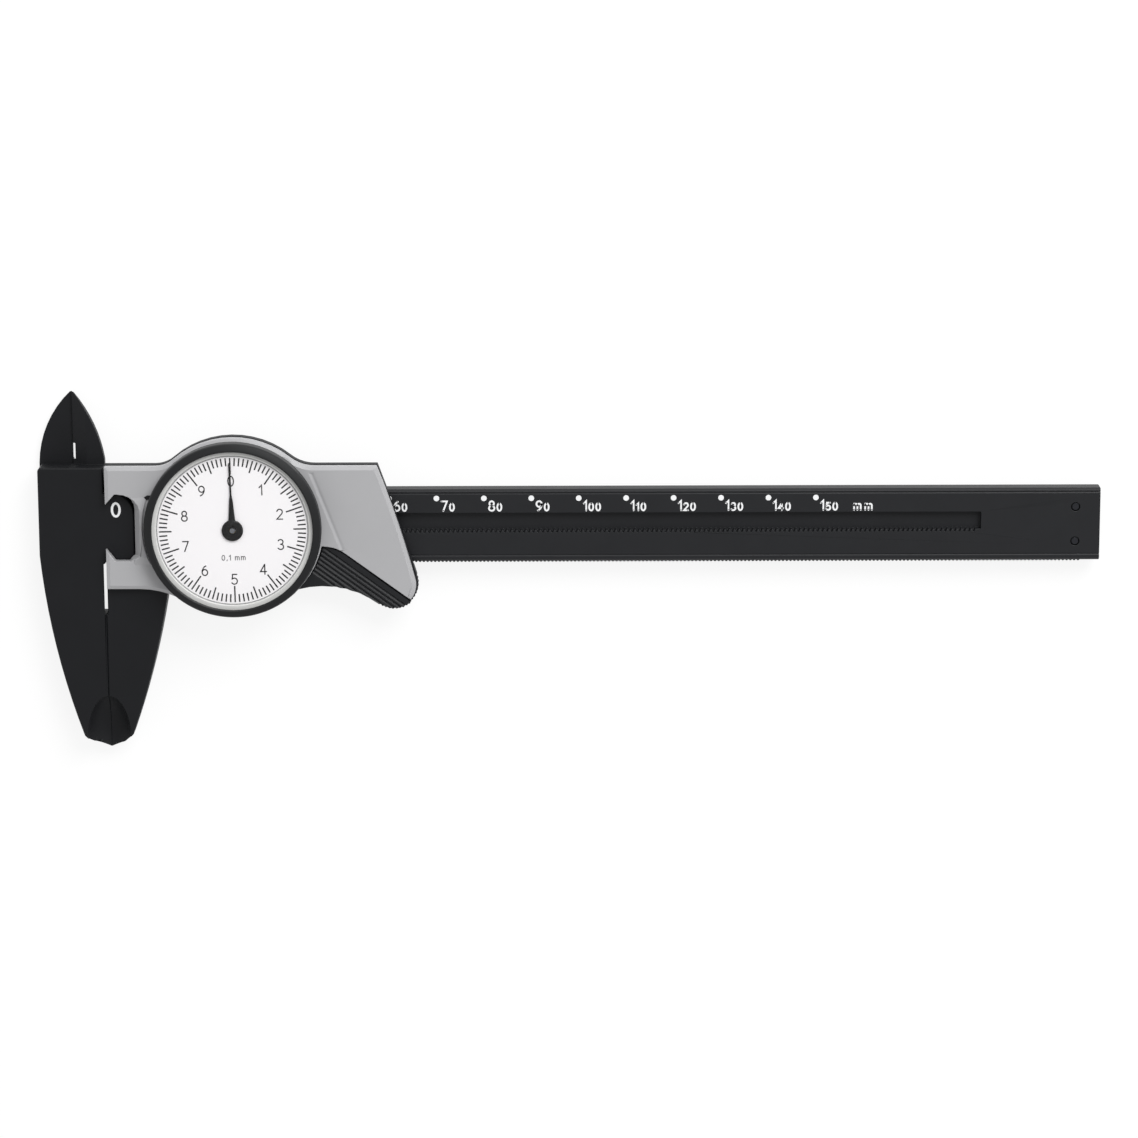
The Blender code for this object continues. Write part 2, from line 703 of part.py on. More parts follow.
def make_fixed_jaw():
    """The fixed outside jaw with its body, and the pad that fills the cover's window."""
    side = arc_through((JAW_LEFT_X, JAW_SIDE_TOP_Y), JAW_SIDE_MIDDLE, JAW_SIDE_LOW, JAW_SIDE_STEPS)
    corners = [(0.0, BODY_TOP_Y, 0.0), (JAW_LEFT_X, BODY_TOP_Y, BODY_CORNER_RADIUS)]
    corners += [(x, y, 0.0) for x, y in side]
    corners += [(*JAW_NOSE, JAW_NOSE_RADIUS), (0.0, JAW_TIP_Y, 0.0)]
    jaw = plate("fixed_jaw", rounded(corners), BEAM_BACK_Z, JAW_FRONT_Z, edge=MOULD_EDGE)
    relief_back = BEAM_BACK_Z - OVERCUT
    relief_front = JAW_FRONT_Z + OVERCUT
    lean = JAW_RELIEF_LEAN / (JAW_FRONT_Z - BEAM_BACK_Z)
    relief = [(OVERCUT, relief_back), (OVERCUT, relief_front), (lean * OVERCUT - JAW_RELIEF, relief_front)]
    relief += [(-JAW_RELIEF - JAW_RELIEF_LEAN - lean * OVERCUT, relief_back)]
    cut(jaw, bar("jaw_relief", relief, (0.0, -BEAM_HALF), (0.0, JAW_RELIEF_END_Y)))
    pad_corners = [(-OVERCUT, -PAD_HALF_HEIGHT, 0.0), (PAD_END_X - PAD_CHAMFER, -PAD_HALF_HEIGHT, 0.0)]
    pad_corners += [(PAD_END_X, PAD_CHAMFER - PAD_HALF_HEIGHT, 0.0)]
    pad_corners += [(PAD_END_X, PAD_HALF_HEIGHT, PAD_CORNER_RADIUS), (-OVERCUT, PAD_HALF_HEIGHT, 0.0)]
    pad = plate("pad", rounded(pad_corners, 6), BEAM_BACK_Z + OVERCUT, JAW_FRONT_Z, edge=MOULD_EDGE)
    return join(jaw, pad)


def make_scoop(name):
    """The hollow that thins both jaw tips to a blade: an ellipsoid centred over the tips."""
    mesh = bpy.data.meshes.new(name)
    work = bmesh.new()
    bmesh.ops.create_uvsphere(work, u_segments=28, v_segments=14, radius=1.0)
    half = Vector((SCOOP_WIDTH / 2.0, SCOOP_LENGTH / 2.0, SCOOP_DEPTH + SCOOP_RISE)) * MM
    middle = Vector((0.0, SCOOP_CENTRE_Y, JAW_FRONT_Z + SCOOP_RISE)) * MM
    work.transform(Matrix.Translation(middle) @ Matrix.Diagonal((*half, 1.0)))
    work.to_mesh(mesh)
    work.free()
    return link(bpy.data.objects.new(name, mesh))


def make_fixed_blade():
    """The front inside blade: half as thick as the beam, bevelled to its measuring edge."""
    top = BEAM_BACK_Z + FIXED_BLADE_THICKNESS
    root_y = BODY_TOP_Y + BLADE_RELIEF_GAP
    low_y = BODY_TOP_Y - BLADE_ROOT_DEPTH
    relief_x = BLADE_EDGE_X + BLADE_RELIEF_WIDTH
    tip = (BLADE_EDGE_X + BLADE_TIP_HALF, BLADE_TIP_Y - BLADE_TIP_STEP)
    outline = [(BLADE_EDGE_X, BLADE_TIP_Y)]
    outline += arc_through(tip, FIXED_BLADE_MIDDLE, (FIXED_BLADE_ROOT_X, root_y), BLADE_STEPS)
    outline += [(FIXED_BLADE_ROOT_X, low_y), (BLADE_EDGE_X, low_y), (BLADE_EDGE_X, root_y)]
    outline += [(relief_x, root_y), (relief_x, root_y + BLADE_RELIEF_LENGTH)]
    outline += [(BLADE_EDGE_X, root_y + BLADE_RELIEF_LENGTH)]
    blade = plate("fixed_blade", outline, BEAM_BACK_Z, top)
    rise = FIXED_BLADE_THICKNESS - BLADE_EDGE_THICKNESS
    wedge = [(OVERLAP, 0.0), (0.0, 0.0), (-BLADE_BEVEL_WIDTH, rise), (-BLADE_BEVEL_WIDTH, rise + OVERCUT)]
    wedge += [(OVERLAP, rise + OVERCUT)]
    start = (BLADE_EDGE_X, BODY_TOP_Y - OVERCUT)
    end = (BLADE_EDGE_X, BLADE_TIP_Y + OVERCUT)
    return cut(blade, bar("fixed_bevel", wedge, start, end, BEAM_BACK_Z + BLADE_EDGE_THICKNESS))


def tooth_gap():
    """One gap between two rack teeth, on the pinion's centre line, run up into the slot."""
    root_y = RACK_LINE_Y - PINION_ADDENDUM - TOOTH_ROOT_CLEARANCE
    top_y = RACK_LINE_Y + RACK_ADDENDUM + OVERLAP
    slope = math.tan(PRESSURE_ANGLE)
    half_gap = RACK_PITCH / 4.0 + TOOTH_BACKLASH / 2.0
    root_half = half_gap + (root_y - RACK_LINE_Y) * slope
    top_half = half_gap + (top_y - RACK_LINE_Y) * slope
    corners = [(-root_half, root_y), (root_half, root_y), (top_half, top_y), (-top_half, top_y)]
    return plate("tooth_gap", corners, BEAM_FRONT_Z - RACK_SLOT_DEPTH, BEAM_FRONT_Z + OVERCUT)


def rack_cutter():
    """All the rack's tooth gaps, as an array of one."""
    before = math.floor((DIAL_X - RACK_SLOT_START - RACK_PITCH) / RACK_PITCH)
    after = math.floor((RACK_SLOT_END - DIAL_X - RACK_PITCH) / RACK_PITCH)
    gaps = shifted(tooth_gap(), DIAL_X - before * RACK_PITCH)
    row = gaps.modifiers.new("Rack", "ARRAY")
    row.count = before + after + 1
    row.use_relative_offset = False
    row.use_constant_offset = True
    row.constant_offset_displace = (RACK_PITCH * MM, 0.0, 0.0)
    replace_mesh(gaps, evaluated_mesh(gaps))
    return gaps


def make_beam(material, parent):
    """The beam with the fixed jaw and blade in one moulding, its rack, rod groove and pin holes."""
    side = BEAM_FRONT_Z - BEAM_CHAMFER
    face = BEAM_HALF - BEAM_CHAMFER
    section = [(-BEAM_HALF, BEAM_BACK_Z), (BEAM_HALF, BEAM_BACK_Z), (BEAM_HALF, side), (face, BEAM_FRONT_Z)]
    section += [(-face, BEAM_FRONT_Z), (-BEAM_HALF, side)]
    beam = bar("beam", section, (-OVERCUT, 0.0), (BEAM_END_X, 0.0))
    half = RULE_LINE_WIDTH / 2.0
    line = [(-half, LINE_PROUD), (0.0, -RULE_LINE_DEPTH), (half, LINE_PROUD)]
    for line_y in (RULE_LINE_TOP, RULE_LINE_BOTTOM):
        cut(beam, bar("rule_line", line, (OVERCUT, line_y), (BEAM_END_X + OVERCUT, line_y), BEAM_FRONT_Z))
    join(beam, make_fixed_jaw(), make_fixed_blade())
    cut(beam, make_scoop("fixed_scoop"))
    cut(beam, rack_cutter())
    cut(beam, block("rack_slot", RACK_SLOT_START, RACK_SLOT_END, RACK_LINE_Y + RACK_ADDENDUM, RACK_SLOT_TOP,
                    BEAM_FRONT_Z - RACK_SLOT_DEPTH, BEAM_FRONT_Z + OVERCUT))
    groove_half = ROD_WIDTH / 2.0 + RUN_GAP
    cut(beam, block("rod_groove", ROD_START_X - RUN_GAP, BEAM_END_X + OVERCUT, -groove_half, groove_half,
                    BEAM_BACK_Z - OVERCUT, BEAM_BACK_Z + ROD_THICKNESS + RUN_GAP))
    for y in (STOP_PIN_Y, -STOP_PIN_Y):
        cut(beam, rod("pin_hole", STOP_PIN_X, y, STOP_PIN_RADIUS + BORE_GAP, 0.0, BEAM_FRONT_Z + OVERCUT))
    return finish(beam, material, parent)


def make_end_stop(material, parent):
    """The plate under the beam's free end that stops the slide and closes the rod's groove."""
    half = END_STOP_LENGTH / 2.0
    outline = box_outline(half, END_STOP_HEIGHT / 2.0, END_STOP_CORNER, 3)
    stop = shifted(plate("end_stop", outline, 0.0, SLIDE_BACK_WALL), END_STOP_X + half)
    for y in (STOP_PIN_Y, -STOP_PIN_Y):
        hole = STOP_PIN_RADIUS + BORE_GAP
        seat = STOP_PIN_HEAD_RADIUS + BORE_GAP
        seat_top = STOP_PIN_HEAD_HEIGHT + 2.0 * SEAT_GAP
        cut(stop, rod("pin_hole", STOP_PIN_X, y, hole, -OVERCUT, SLIDE_BACK_WALL + OVERCUT, SMALL_SEGMENTS))
        cut(stop, rod("pin_seat", STOP_PIN_X, y, seat, -OVERCUT, seat_top, SMALL_SEGMENTS))
    return finish(stop, material, parent)


def make_stop_pin(name, y, material, parent):
    """A headed pin through the end stop, flush with the beam's face."""
    shoulder = SEAT_GAP + STOP_PIN_HEAD_HEIGHT
    top = BEAM_FRONT_Z - STOP_PIN_SINK
    profile = [(0.0, SEAT_GAP), (STOP_PIN_HEAD_RADIUS, SEAT_GAP), (STOP_PIN_HEAD_RADIUS, shoulder)]
    profile += [(STOP_PIN_RADIUS, shoulder), (STOP_PIN_RADIUS, top - STOP_PIN_EDGE)]
    profile += [(STOP_PIN_RADIUS - STOP_PIN_EDGE, top), (0.0, top)]
    return finish(shifted(turned(name, profile, SMALL_SEGMENTS), STOP_PIN_X, y), material, parent)


def make_moving_jaw():
    """The moving outside jaw, with its measuring face on the drawing's zero plane."""
    root_y = -CHANNEL_HALF - MOVING_JAW_ROOT_GAP
    outline = [(JAW_GAP, JAW_TIP_Y), (JAW_GAP, JAW_RELIEF_END_Y), (JAW_GAP + JAW_RELIEF, JAW_RELIEF_END_Y)]
    outline += [(JAW_GAP + JAW_RELIEF, root_y), (MOVING_JAW_TOP[0], root_y)]
    outline += arc_through(MOVING_JAW_TOP, MOVING_JAW_MIDDLE, MOVING_JAW_LOW, JAW_SIDE_STEPS)
    outline += [MOVING_JAW_NOSE]
    jaw = plate("moving_jaw", outline, BEAM_BACK_Z, JAW_FRONT_Z, edge=MOULD_EDGE)
    head_room = rod("head_room", *SCREW_PLACES[2], SCREW_HEAD_RADIUS + RUN_GAP, 0.0, FLANGE_BACK_Z)
    return cut(jaw, make_scoop("moving_scoop"), head_room)


def make_moving_blade():
    """The rear inside blade and the arm that carries it behind the fixed jaw."""
    arm_low = CHANNEL_HALF + BLADE_ARM_INSET
    arm_top = BODY_TOP_Y - BLADE_ARM_INSET
    arm_end = FLANGE_LEFT_X + BLADE_ARM_REACH
    outline = [(BLADE_EDGE_X, BLADE_TIP_Y), (BLADE_EDGE_X, arm_top), (arm_end, arm_top)]
    outline += [(arm_end, arm_low), (MOVING_BLADE_ROOT_X, arm_low)]
    root = (MOVING_BLADE_ROOT_X, BODY_TOP_Y)
    tip = (BLADE_EDGE_X - BLADE_TIP_HALF, BLADE_TIP_Y - BLADE_TIP_STEP)
    outline += arc_through(root, MOVING_BLADE_MIDDLE, tip, BLADE_STEPS)
    blade = plate("moving_blade", outline, 0.0, SLIDE_BACK_WALL)
    edge_z = SLIDE_BACK_WALL - BLADE_EDGE_THICKNESS
    wedge = [(-OVERLAP, -OVERCUT), (-OVERLAP, edge_z), (0.0, edge_z), (BLADE_BEVEL_WIDTH, 0.0)]
    wedge += [(BLADE_BEVEL_WIDTH, -OVERCUT)]
    start = (BLADE_EDGE_X, BODY_TOP_Y + OVERCUT)
    return cut(blade, bar("moving_bevel", wedge, start, (BLADE_EDGE_X, BLADE_TIP_Y + OVERCUT)))


def bezel_room(back, front):
    """A round cutter that leaves the bezel room to turn."""
    return rod("bezel_room", DIAL_X, DIAL_Y, BEZEL_RADIUS + 2.0 * RUN_GAP, back, front, DIAL_SEGMENTS)


def make_flange():
    """The slide's front flange with the thumb rest, which slopes away from the cover's diagonal edge."""
    rest = plate("slide_body", slide_outline(0.0, 0.0, GRIP_DEPTH), THUMB_BACK_Z, THUMB_TOP_Z)
    reach = 2.0 * BULGE_RADIUS
    for low, high in ((JAW_FRONT_Z, THUMB_TOP_Z + OVERCUT), (THUMB_BACK_Z - OVERCUT, FLANGE_BACK_Z)):
        waste = block("waste", JAW_LEFT_X, SLIDE_RIGHT_X, -reach, reach, low, high)
        zone = plate("thumb_zone", thumb_zone(RUN_GAP), low - OVERCUT, high + OVERCUT)
        cut(rest, cut(waste, zone))
    cut(rest, bezel_room(JAW_FRONT_Z, THUMB_TOP_Z + OVERCUT))
    run = Vector(DIAGONAL_END) - Vector(DIAGONAL_KNEE)
    place = Matrix.Translation(Vector((*DIAGONAL_KNEE, THUMB_TOP_Z)) * MM)
    place = place @ Matrix.Rotation(math.atan2(run.y, run.x), 4, "Z")
    slope = place @ Matrix.Translation((0.0, -THUMB_FLAT_WIDTH * MM, 0.0))
    slope = slope @ Matrix.Rotation(THUMB_SLOPE, 4, "X")
    shave = block("thumb_slope", *THUMB_SLOPE_BLOCK)
    shave.data.transform(slope)
    zone = plate("thumb_zone", thumb_zone(0.0), JAW_FRONT_Z - THUMB_SLOPE_REACH, THUMB_TOP_Z + 2.0 * OVERCUT)
    cut(rest, combine(shave, zone, "INTERSECT"))
    groove = [(-THUMB_RIB_DEPTH, RIB_PROUD), (0.0, -THUMB_RIB_DEPTH), (THUMB_RIB_DEPTH, RIB_PROUD)]
    for index in range(THUMB_RIB_COUNT):
        y = -(index + 1) * THUMB_RIB_PITCH
        valley = bar("valley", groove, (THUMB_RIB_START - THUMB_RIB_RAKE * y, y), (THUMB_RIB_END, y))
        valley.data.transform(slope)
        cut(rest, valley)
    return rest


def make_slide_body(material, parent):
    """The slide's black moulding: a channel round the beam, a flange, the jaw, blade and thumb rest."""
    body = make_flange()
    left = FLANGE_LEFT_X - OVERCUT
    low = FLANGE_BACK_Z - OVERCUT
    high = JAW_FRONT_Z + OVERCUT
    channel = block("channel", FLANGE_LEFT_X, BACK_END_X, -CHANNEL_OUTSIDE, CHANNEL_OUTSIDE, 0.0,
                    FLANGE_BACK_Z + OVERLAP)
    join(body, join(channel, make_moving_blade()), make_moving_jaw())
    for name, right, top in (("beam_room", SLIDE_RIGHT_X, CHANNEL_FRONT_Z),
                             ("pad_room", PAD_END_X + 2.0 * RUN_GAP, high)):
        cut(body, block(name, left, right, -CHANNEL_HALF, CHANNEL_HALF, SLIDE_BACK_WALL, top))
    pinion_room = PITCH_RADIUS + PINION_ADDENDUM + 2.0 * RUN_GAP
    cut(body, rod("pinion_room", DIAL_X, DIAL_Y, pinion_room, SLIDE_BACK_WALL + OVERCUT, high))
    for x, y in SCREW_PLACES:
        cut(body, rod("screw_hole", x, y, SCREW_RADIUS + BORE_GAP, low, high, SMALL_SEGMENTS))
    small_hole = SMALL_SCREW_RADIUS + BORE_GAP
    for side in (1.0, -1.0):
        x = DIAL_X + side * PLATE_SCREW_X
        y = DIAL_Y - side * PLATE_SCREW_Y
        cut(body, rod("plate_screw_hole", x, y, small_hole, CHANNEL_FRONT_Z - OVERCUT, high, SMALL_SEGMENTS))
    stud_hole = ROD_STUD_RADIUS + BORE_GAP
    for x in rod_stud_places():
        cut(body, rod("stud_hole", x, 0.0, stud_hole, -OVERCUT, SLIDE_BACK_WALL + RUN_GAP, SMALL_SEGMENTS))
    middle = (BEAM_BACK_Z + BEAM_FRONT_Z) / 2.0
    half = SLIDE_SPRING_HEIGHT / 2.0 + RUN_GAP
    spring_end = SLIDE_SPRING_START_X + SLIDE_SPRING_LENGTH
    cut(body, block("spring_pocket", SLIDE_SPRING_START_X - RUN_GAP, spring_end + RUN_GAP,
                    CHANNEL_HALF - OVERLAP, CHANNEL_HALF + SLIDE_SPRING_POCKET, middle - half, middle + half))
    return finish(body, material, parent)


def rod_stud_places():
    """Where the depth rod's two studs stand along X."""
    first = ROD_START_X + ROD_STUD_INSET
    return first, first + ROD_STUD_SPACING


def notch_outline():
    """The window in the cover's left end, with hooked lips."""
    left = FLANGE_LEFT_X - OVERCUT
    lip = FLANGE_LEFT_X + NOTCH_HOOK_INSET
    hook = lip + NOTCH_HOOK_REACH
    corners = [(left, NOTCH_HOOK_BOTTOM, 0.0), (lip, NOTCH_HOOK_BOTTOM, 0.0), (hook, NOTCH_BOTTOM_Y, 0.0)]
    corners += [(NOTCH_END_X - NOTCH_CHAMFER, NOTCH_BOTTOM_Y, 0.0)]
    corners += [(NOTCH_END_X, NOTCH_BOTTOM_Y + NOTCH_CHAMFER, 0.0)]
    corners += [(NOTCH_END_X, NOTCH_TOP_Y, NOTCH_CORNER_RADIUS), (hook, NOTCH_TOP_Y, 0.0)]
    corners += [(lip, NOTCH_HOOK_TOP, 0.0), (left, NOTCH_HOOK_TOP, 0.0)]
    return rounded(corners, 5)


def notch_cutter():
    """The window's cutter: its right wall leans outwards towards the front."""
    cutter = plate("notch", notch_outline(), COVER_BACK_Z - OVERCUT, COVER_FRONT_Z + OVERCUT)
    work = bmesh.new()
    work.from_mesh(cutter.data)
    curve_start = NOTCH_END_X - NOTCH_CORNER_RADIUS
    for vert in work.verts:
        share = (vert.co.x / MM - curve_start) / NOTCH_CORNER_RADIUS
        if share > 0.0:
            vert.co.x += share * (vert.co.z - COVER_BACK_Z * MM) * NOTCH_LEAN
    bmesh.ops.triangulate(work, faces=work.faces)
    work.to_mesh(cutter.data)
    work.free()
    return cutter


def make_window_frame():
    """The raised strip between the window and the bezel, with a slope at either end."""
    foot = COVER_FRONT_Z - OVERLAP
    top = COVER_FRONT_Z + WINDOW_FRAME_RISE
    section = [(WINDOW_FRAME_BOTTOM, foot), (WINDOW_FRAME_TOP, foot), (WINDOW_FRAME_TOP, COVER_FRONT_Z)]
    section += [(WINDOW_FRAME_TOP - WINDOW_FRAME_SLOPE_TOP, top)]
    section += [(WINDOW_FRAME_BOTTOM + WINDOW_FRAME_SLOPE_BOTTOM, top), (WINDOW_FRAME_BOTTOM, COVER_FRONT_Z)]
    strip = bar("window_frame", section, (WINDOW_FRAME_START_X, 0.0), (DIAL_X - MOVEMENT_BAY_RADIUS, 0.0))
    slant = Matrix.Identity(4)
    slant[0][1] = -WINDOW_FRAME_SLANT
    slant[0][3] = WINDOW_FRAME_SLANT * WINDOW_FRAME_TOP * MM
    strip.data.transform(slant)
    return cut(strip, bezel_room(foot - OVERCUT, top + OVERCUT))


def make_crease():
    """The shallow V that sets the cover's flat end off from the dial's surround."""
    section = [(-CREASE_RIGHT_WIDTH, 0.0), (0.0, -CREASE_DEPTH), (CREASE_LEFT_WIDTH, 0.0)]
    section += [(CREASE_LEFT_WIDTH, OVERCUT), (-CREASE_RIGHT_WIDTH, OVERCUT)]
    return bar("crease", section, CREASE_BOTTOM, CREASE_TOP, COVER_FRONT_Z)


def spigot_profile():
    """The ring that carries the bezel, with the wire's groove round it."""
    groove_radius = SPIGOT_RADIUS - SNAP_GROOVE_DEPTH
    groove_low = SNAP_MIDDLE_Z - SNAP_GROOVE_HEIGHT / 2.0
    groove_high = SNAP_MIDDLE_Z + SNAP_GROOVE_HEIGHT / 2.0
    profile = [(MOVEMENT_BAY_RADIUS, SPIGOT_TOP_Z), (SPIGOT_RADIUS - SPIGOT_EDGE, SPIGOT_TOP_Z)]
    profile += [(SPIGOT_RADIUS, SPIGOT_TOP_Z - SPIGOT_EDGE), (SPIGOT_RADIUS, groove_high)]
    profile += [(groove_radius, groove_high), (groove_radius, groove_low), (SPIGOT_RADIUS, groove_low)]
    profile += [(SPIGOT_RADIUS, COVER_BACK_Z + OVERLAP), (MOVEMENT_BAY_RADIUS, COVER_BACK_Z + OVERLAP)]
    return profile


def cover_pocket():
    """The hollow behind the cover's skin, clear of its rims and screw bosses."""
    inset = COVER_INSET + COVER_WALL
    low = COVER_BACK_Z - 2.0 * OVERCUT
    high = COVER_FRONT_Z + OVERCUT
    outline = slide_outline(inset, COVER_LOBE_INSET + COVER_WALL, 0.0)
    pocket = plate("pocket", outline, COVER_BACK_Z - OVERCUT, COVER_FRONT_Z - COVER_SKIN)
    cut(pocket, plate("rim_keep", thumb_zone(-COVER_WALL), low, high))
    window_end = NOTCH_END_X + (COVER_THICKNESS + OVERCUT) * NOTCH_LEAN + COVER_WALL
    cut(pocket, block("window_keep", -2.0 * OVERCUT, window_end, NOTCH_BOTTOM_Y - COVER_WALL,
                      NOTCH_TOP_Y + COVER_WALL, low, high))
    for x, y in SCREW_PLACES:
        cut(pocket, rod("boss_keep", x, y, SCREW_RADIUS + BOSS_WALL, low, high))
    return pocket


def make_cover(material, parent):
    """The silver cover: a shallow shell with the dial's spigot, the window and the set-off end."""
    rim = (COVER_RIM_WIDTH, COVER_RIM_DROP)
    outline = slide_outline(COVER_INSET, COVER_LOBE_INSET, 0.0)
    cover = plate("slide_cover", outline, COVER_BACK_Z, COVER_FRONT_Z, rim=rim)
    low = COVER_BACK_Z - OVERCUT
    high = COVER_FRONT_Z + OVERCUT
    keep_radius = BEZEL_RADIUS + RUN_GAP
    keep = rod("ring_keep", DIAL_X, DIAL_Y, keep_radius, low - OVERCUT, high + OVERCUT, DIAL_SEGMENTS)
    cut(cover, make_crease())
    join(cover, make_window_frame())
    cut(cover, cut(plate("diagonal", thumb_zone(0.0), low, high), keep), notch_cutter(), cover_pocket())
    middle_radius = (MOVEMENT_BAY_RADIUS + SPIGOT_RADIUS) / 2.0
    cut(cover, rod("bay", DIAL_X, DIAL_Y, middle_radius, low, high, DIAL_SEGMENTS))
    join(cover, shifted(turned("spigot", spigot_profile()), DIAL_X, DIAL_Y))
    thread_top = COVER_BACK_Z + SCREW_GRIP + BORE_GAP
    for x, y in SCREW_PLACES:
        cut(cover, rod("thread_hole", x, y, SCREW_RADIUS + BORE_GAP, low, thread_top, SMALL_SEGMENTS))
    return finish(cover, material, parent, COVER_SHARP_ANGLE)


def make_cover_screw(name, place, material, parent):
    """A pan head screw that comes up through the flange into the cover."""
    top = COVER_BACK_Z + SCREW_GRIP
    seat = FLANGE_BACK_Z - SEAT_GAP
    low = seat - SCREW_HEAD_HEIGHT
    socket_top = low + SCREW_HEAD_EDGE
    profile = [(0.0, socket_top), (SCREW_SOCKET_RADIUS, socket_top), (SCREW_SOCKET_RADIUS, low)]
    profile += [(SCREW_HEAD_RADIUS - SCREW_HEAD_EDGE, low), (SCREW_HEAD_RADIUS, low + SCREW_HEAD_EDGE)]
    profile += [(SCREW_HEAD_RADIUS, seat), (SCREW_RADIUS, seat), (SCREW_RADIUS, top), (0.0, top)]
    return finish(shifted(turned(name, profile, SMALL_SEGMENTS), *place), material, parent)


def make_depth_rod(material, parent):
    """The depth rod, staked to the slide's back wall and flush with the beam's end at zero."""
    half = ROD_WIDTH / 2.0
    tip_y = ROD_TIP_WIDTH - half
    shoulder = BEAM_END_X - ROD_TIP_LENGTH
    outline = [(ROD_START_X, -half), (BEAM_END_X, -half), (BEAM_END_X, tip_y), (shoulder, tip_y)]
    outline += [(shoulder - (half - tip_y), half), (ROD_START_X, half)]
    strip = plate("depth_rod", outline, BEAM_BACK_Z, BEAM_BACK_Z + ROD_THICKNESS)
    for x in rod_stud_places():
        join(strip, rod("stud", x, 0.0, ROD_STUD_RADIUS, 2.0 * SEAT_GAP, BEAM_BACK_Z + OVERLAP))
    return finish(strip, material, parent)


def leaf(name, points, back, front):
    """A bent strip of spring steel standing on edge, from its centre line."""
    near = []
    far = []
    for index, (x, y) in enumerate(points):
        before = points[max(index - 1, 0)]
        after = points[min(index + 1, len(points) - 1)]
        along = Vector((after[0] - before[0], after[1] - before[1])).normalized() * LEAF_THICKNESS / 2.0
        near.append((x - along.y, y + along.x))
        far.append((x + along.y, y - along.x))
    return plate(name, near + far[::-1], back, front)


def make_slide_spring(material, parent):
    """The bowed leaf in the channel's upper wall that takes up play and drags on the beam."""
    middle = (BEAM_BACK_Z + BEAM_FRONT_Z) / 2.0
    half = SLIDE_SPRING_HEIGHT / 2.0
    far_y = CHANNEL_HALF + SLIDE_SPRING_POCKET - SEAT_GAP - LEAF_THICKNESS / 2.0
    near_y = BEAM_HALF + SEAT_GAP + LEAF_THICKNESS / 2.0
    start = SLIDE_SPRING_START_X
    end = start + SLIDE_SPRING_LENGTH
    points = arc_through((start, far_y), ((start + end) / 2.0, near_y), (end, far_y), SLIDE_SPRING_STEPS)
    return finish(leaf("slide_spring", points, middle - half, middle + half), material, parent)


def make_movement_plate(material, parent):
    """The plate that carries the movement on the slide's front wall, with its two pillars."""
    outline = box_outline(PLATE_HALF, PLATE_WIDTH / 2.0, PLATE_CORNER_RADIUS)
    item = plate("movement_plate", outline, PLATE_BACK_Z, PLATE_FRONT_Z)
    hole = SMALL_SCREW_RADIUS + BORE_GAP
    hole_low = PLATE_BACK_Z + OVERLAP + SEAT_GAP
    low = PLATE_BACK_Z - OVERCUT
    high = PLATE_FRONT_Z + OVERCUT
    for side in (1.0, -1.0):
        x = side * PILLAR_X
        join(item, rod("pillar", x, 0.0, PILLAR_RADIUS, PLATE_BACK_Z + OVERLAP, BRIDGE_BACK_Z - SEAT_GAP))
        cut(item, rod("pillar_hole", x, 0.0, hole, hole_low, BRIDGE_FRONT_Z, SMALL_SEGMENTS))
        screw_x = side * PLATE_SCREW_X
        cut(item, rod("screw_hole", screw_x, -side * PLATE_SCREW_Y, hole, low, high, SMALL_SEGMENTS))
    cut(item, rod("bush_hole", 0.0, 0.0, BUSH_RADIUS + BORE_GAP, low, high))
    return finish(item, material, parent)


def make_bush(name, back, front, flange_at_front, material, parent):
    """A flanged brass bush for the arbor."""
    bore = ARBOR_RADIUS + BORE_GAP
    if flange_at_front:
        flange = front + BUSH_FLANGE_HEIGHT
        profile = [(bore, back), (BUSH_RADIUS, back), (BUSH_RADIUS, front), (BUSH_FLANGE_RADIUS, front)]
        profile += [(BUSH_FLANGE_RADIUS, flange), (bore, flange)]
    else:
        flange = back - BUSH_FLANGE_HEIGHT
        profile = [(bore, flange), (BUSH_FLANGE_RADIUS, flange), (BUSH_FLANGE_RADIUS, back)]
        profile += [(BUSH_RADIUS, back), (BUSH_RADIUS, front), (bore, front)]
    return finish(turned(name, profile, BORE_SEGMENTS), material, parent)


def make_bridge(material, parent):
    """The bridge over the two pillars that holds the upper bush."""
    end = PILLAR_X + PILLAR_RADIUS
    outline = box_outline(end, BRIDGE_WIDTH / 2.0, PILLAR_RADIUS)
    item = plate("pinion_bridge", outline, BRIDGE_BACK_Z, BRIDGE_FRONT_Z)
    low = BRIDGE_BACK_Z - OVERCUT
    high = BRIDGE_FRONT_Z + OVERCUT
    cut(item, rod("bush_hole", 0.0, 0.0, BUSH_RADIUS + BORE_GAP, low, high))
    for x in (PILLAR_X, -PILLAR_X):
        cut(item, rod("screw_hole", x, 0.0, SMALL_SCREW_RADIUS + BORE_GAP, low, high, SMALL_SEGMENTS))
    return finish(item, material, parent)


def make_small_screw(name, x, y, low, seat, material, parent):
    """A small cheese head screw of the movement."""
    under = seat + SEAT_GAP
    top = under + SMALL_HEAD_HEIGHT
    profile = [(0.0, low), (SMALL_SCREW_RADIUS, low), (SMALL_SCREW_RADIUS, under), (SMALL_HEAD_RADIUS, under)]
    profile += [(SMALL_HEAD_RADIUS, top), (0.0, top)]
    screw = shifted(turned(name, profile, SMALL_SEGMENTS), x, y)
    reach = SMALL_HEAD_RADIUS + OVERCUT
    half = DRIVER_SLOT_WIDTH / 2.0
    floor = top - DRIVER_SLOT_DEPTH
    slot = block("driver_slot", x - reach, x + reach, y - half, y + half, floor, top + OVERCUT)
    return finish(cut(screw, slot), material, parent)


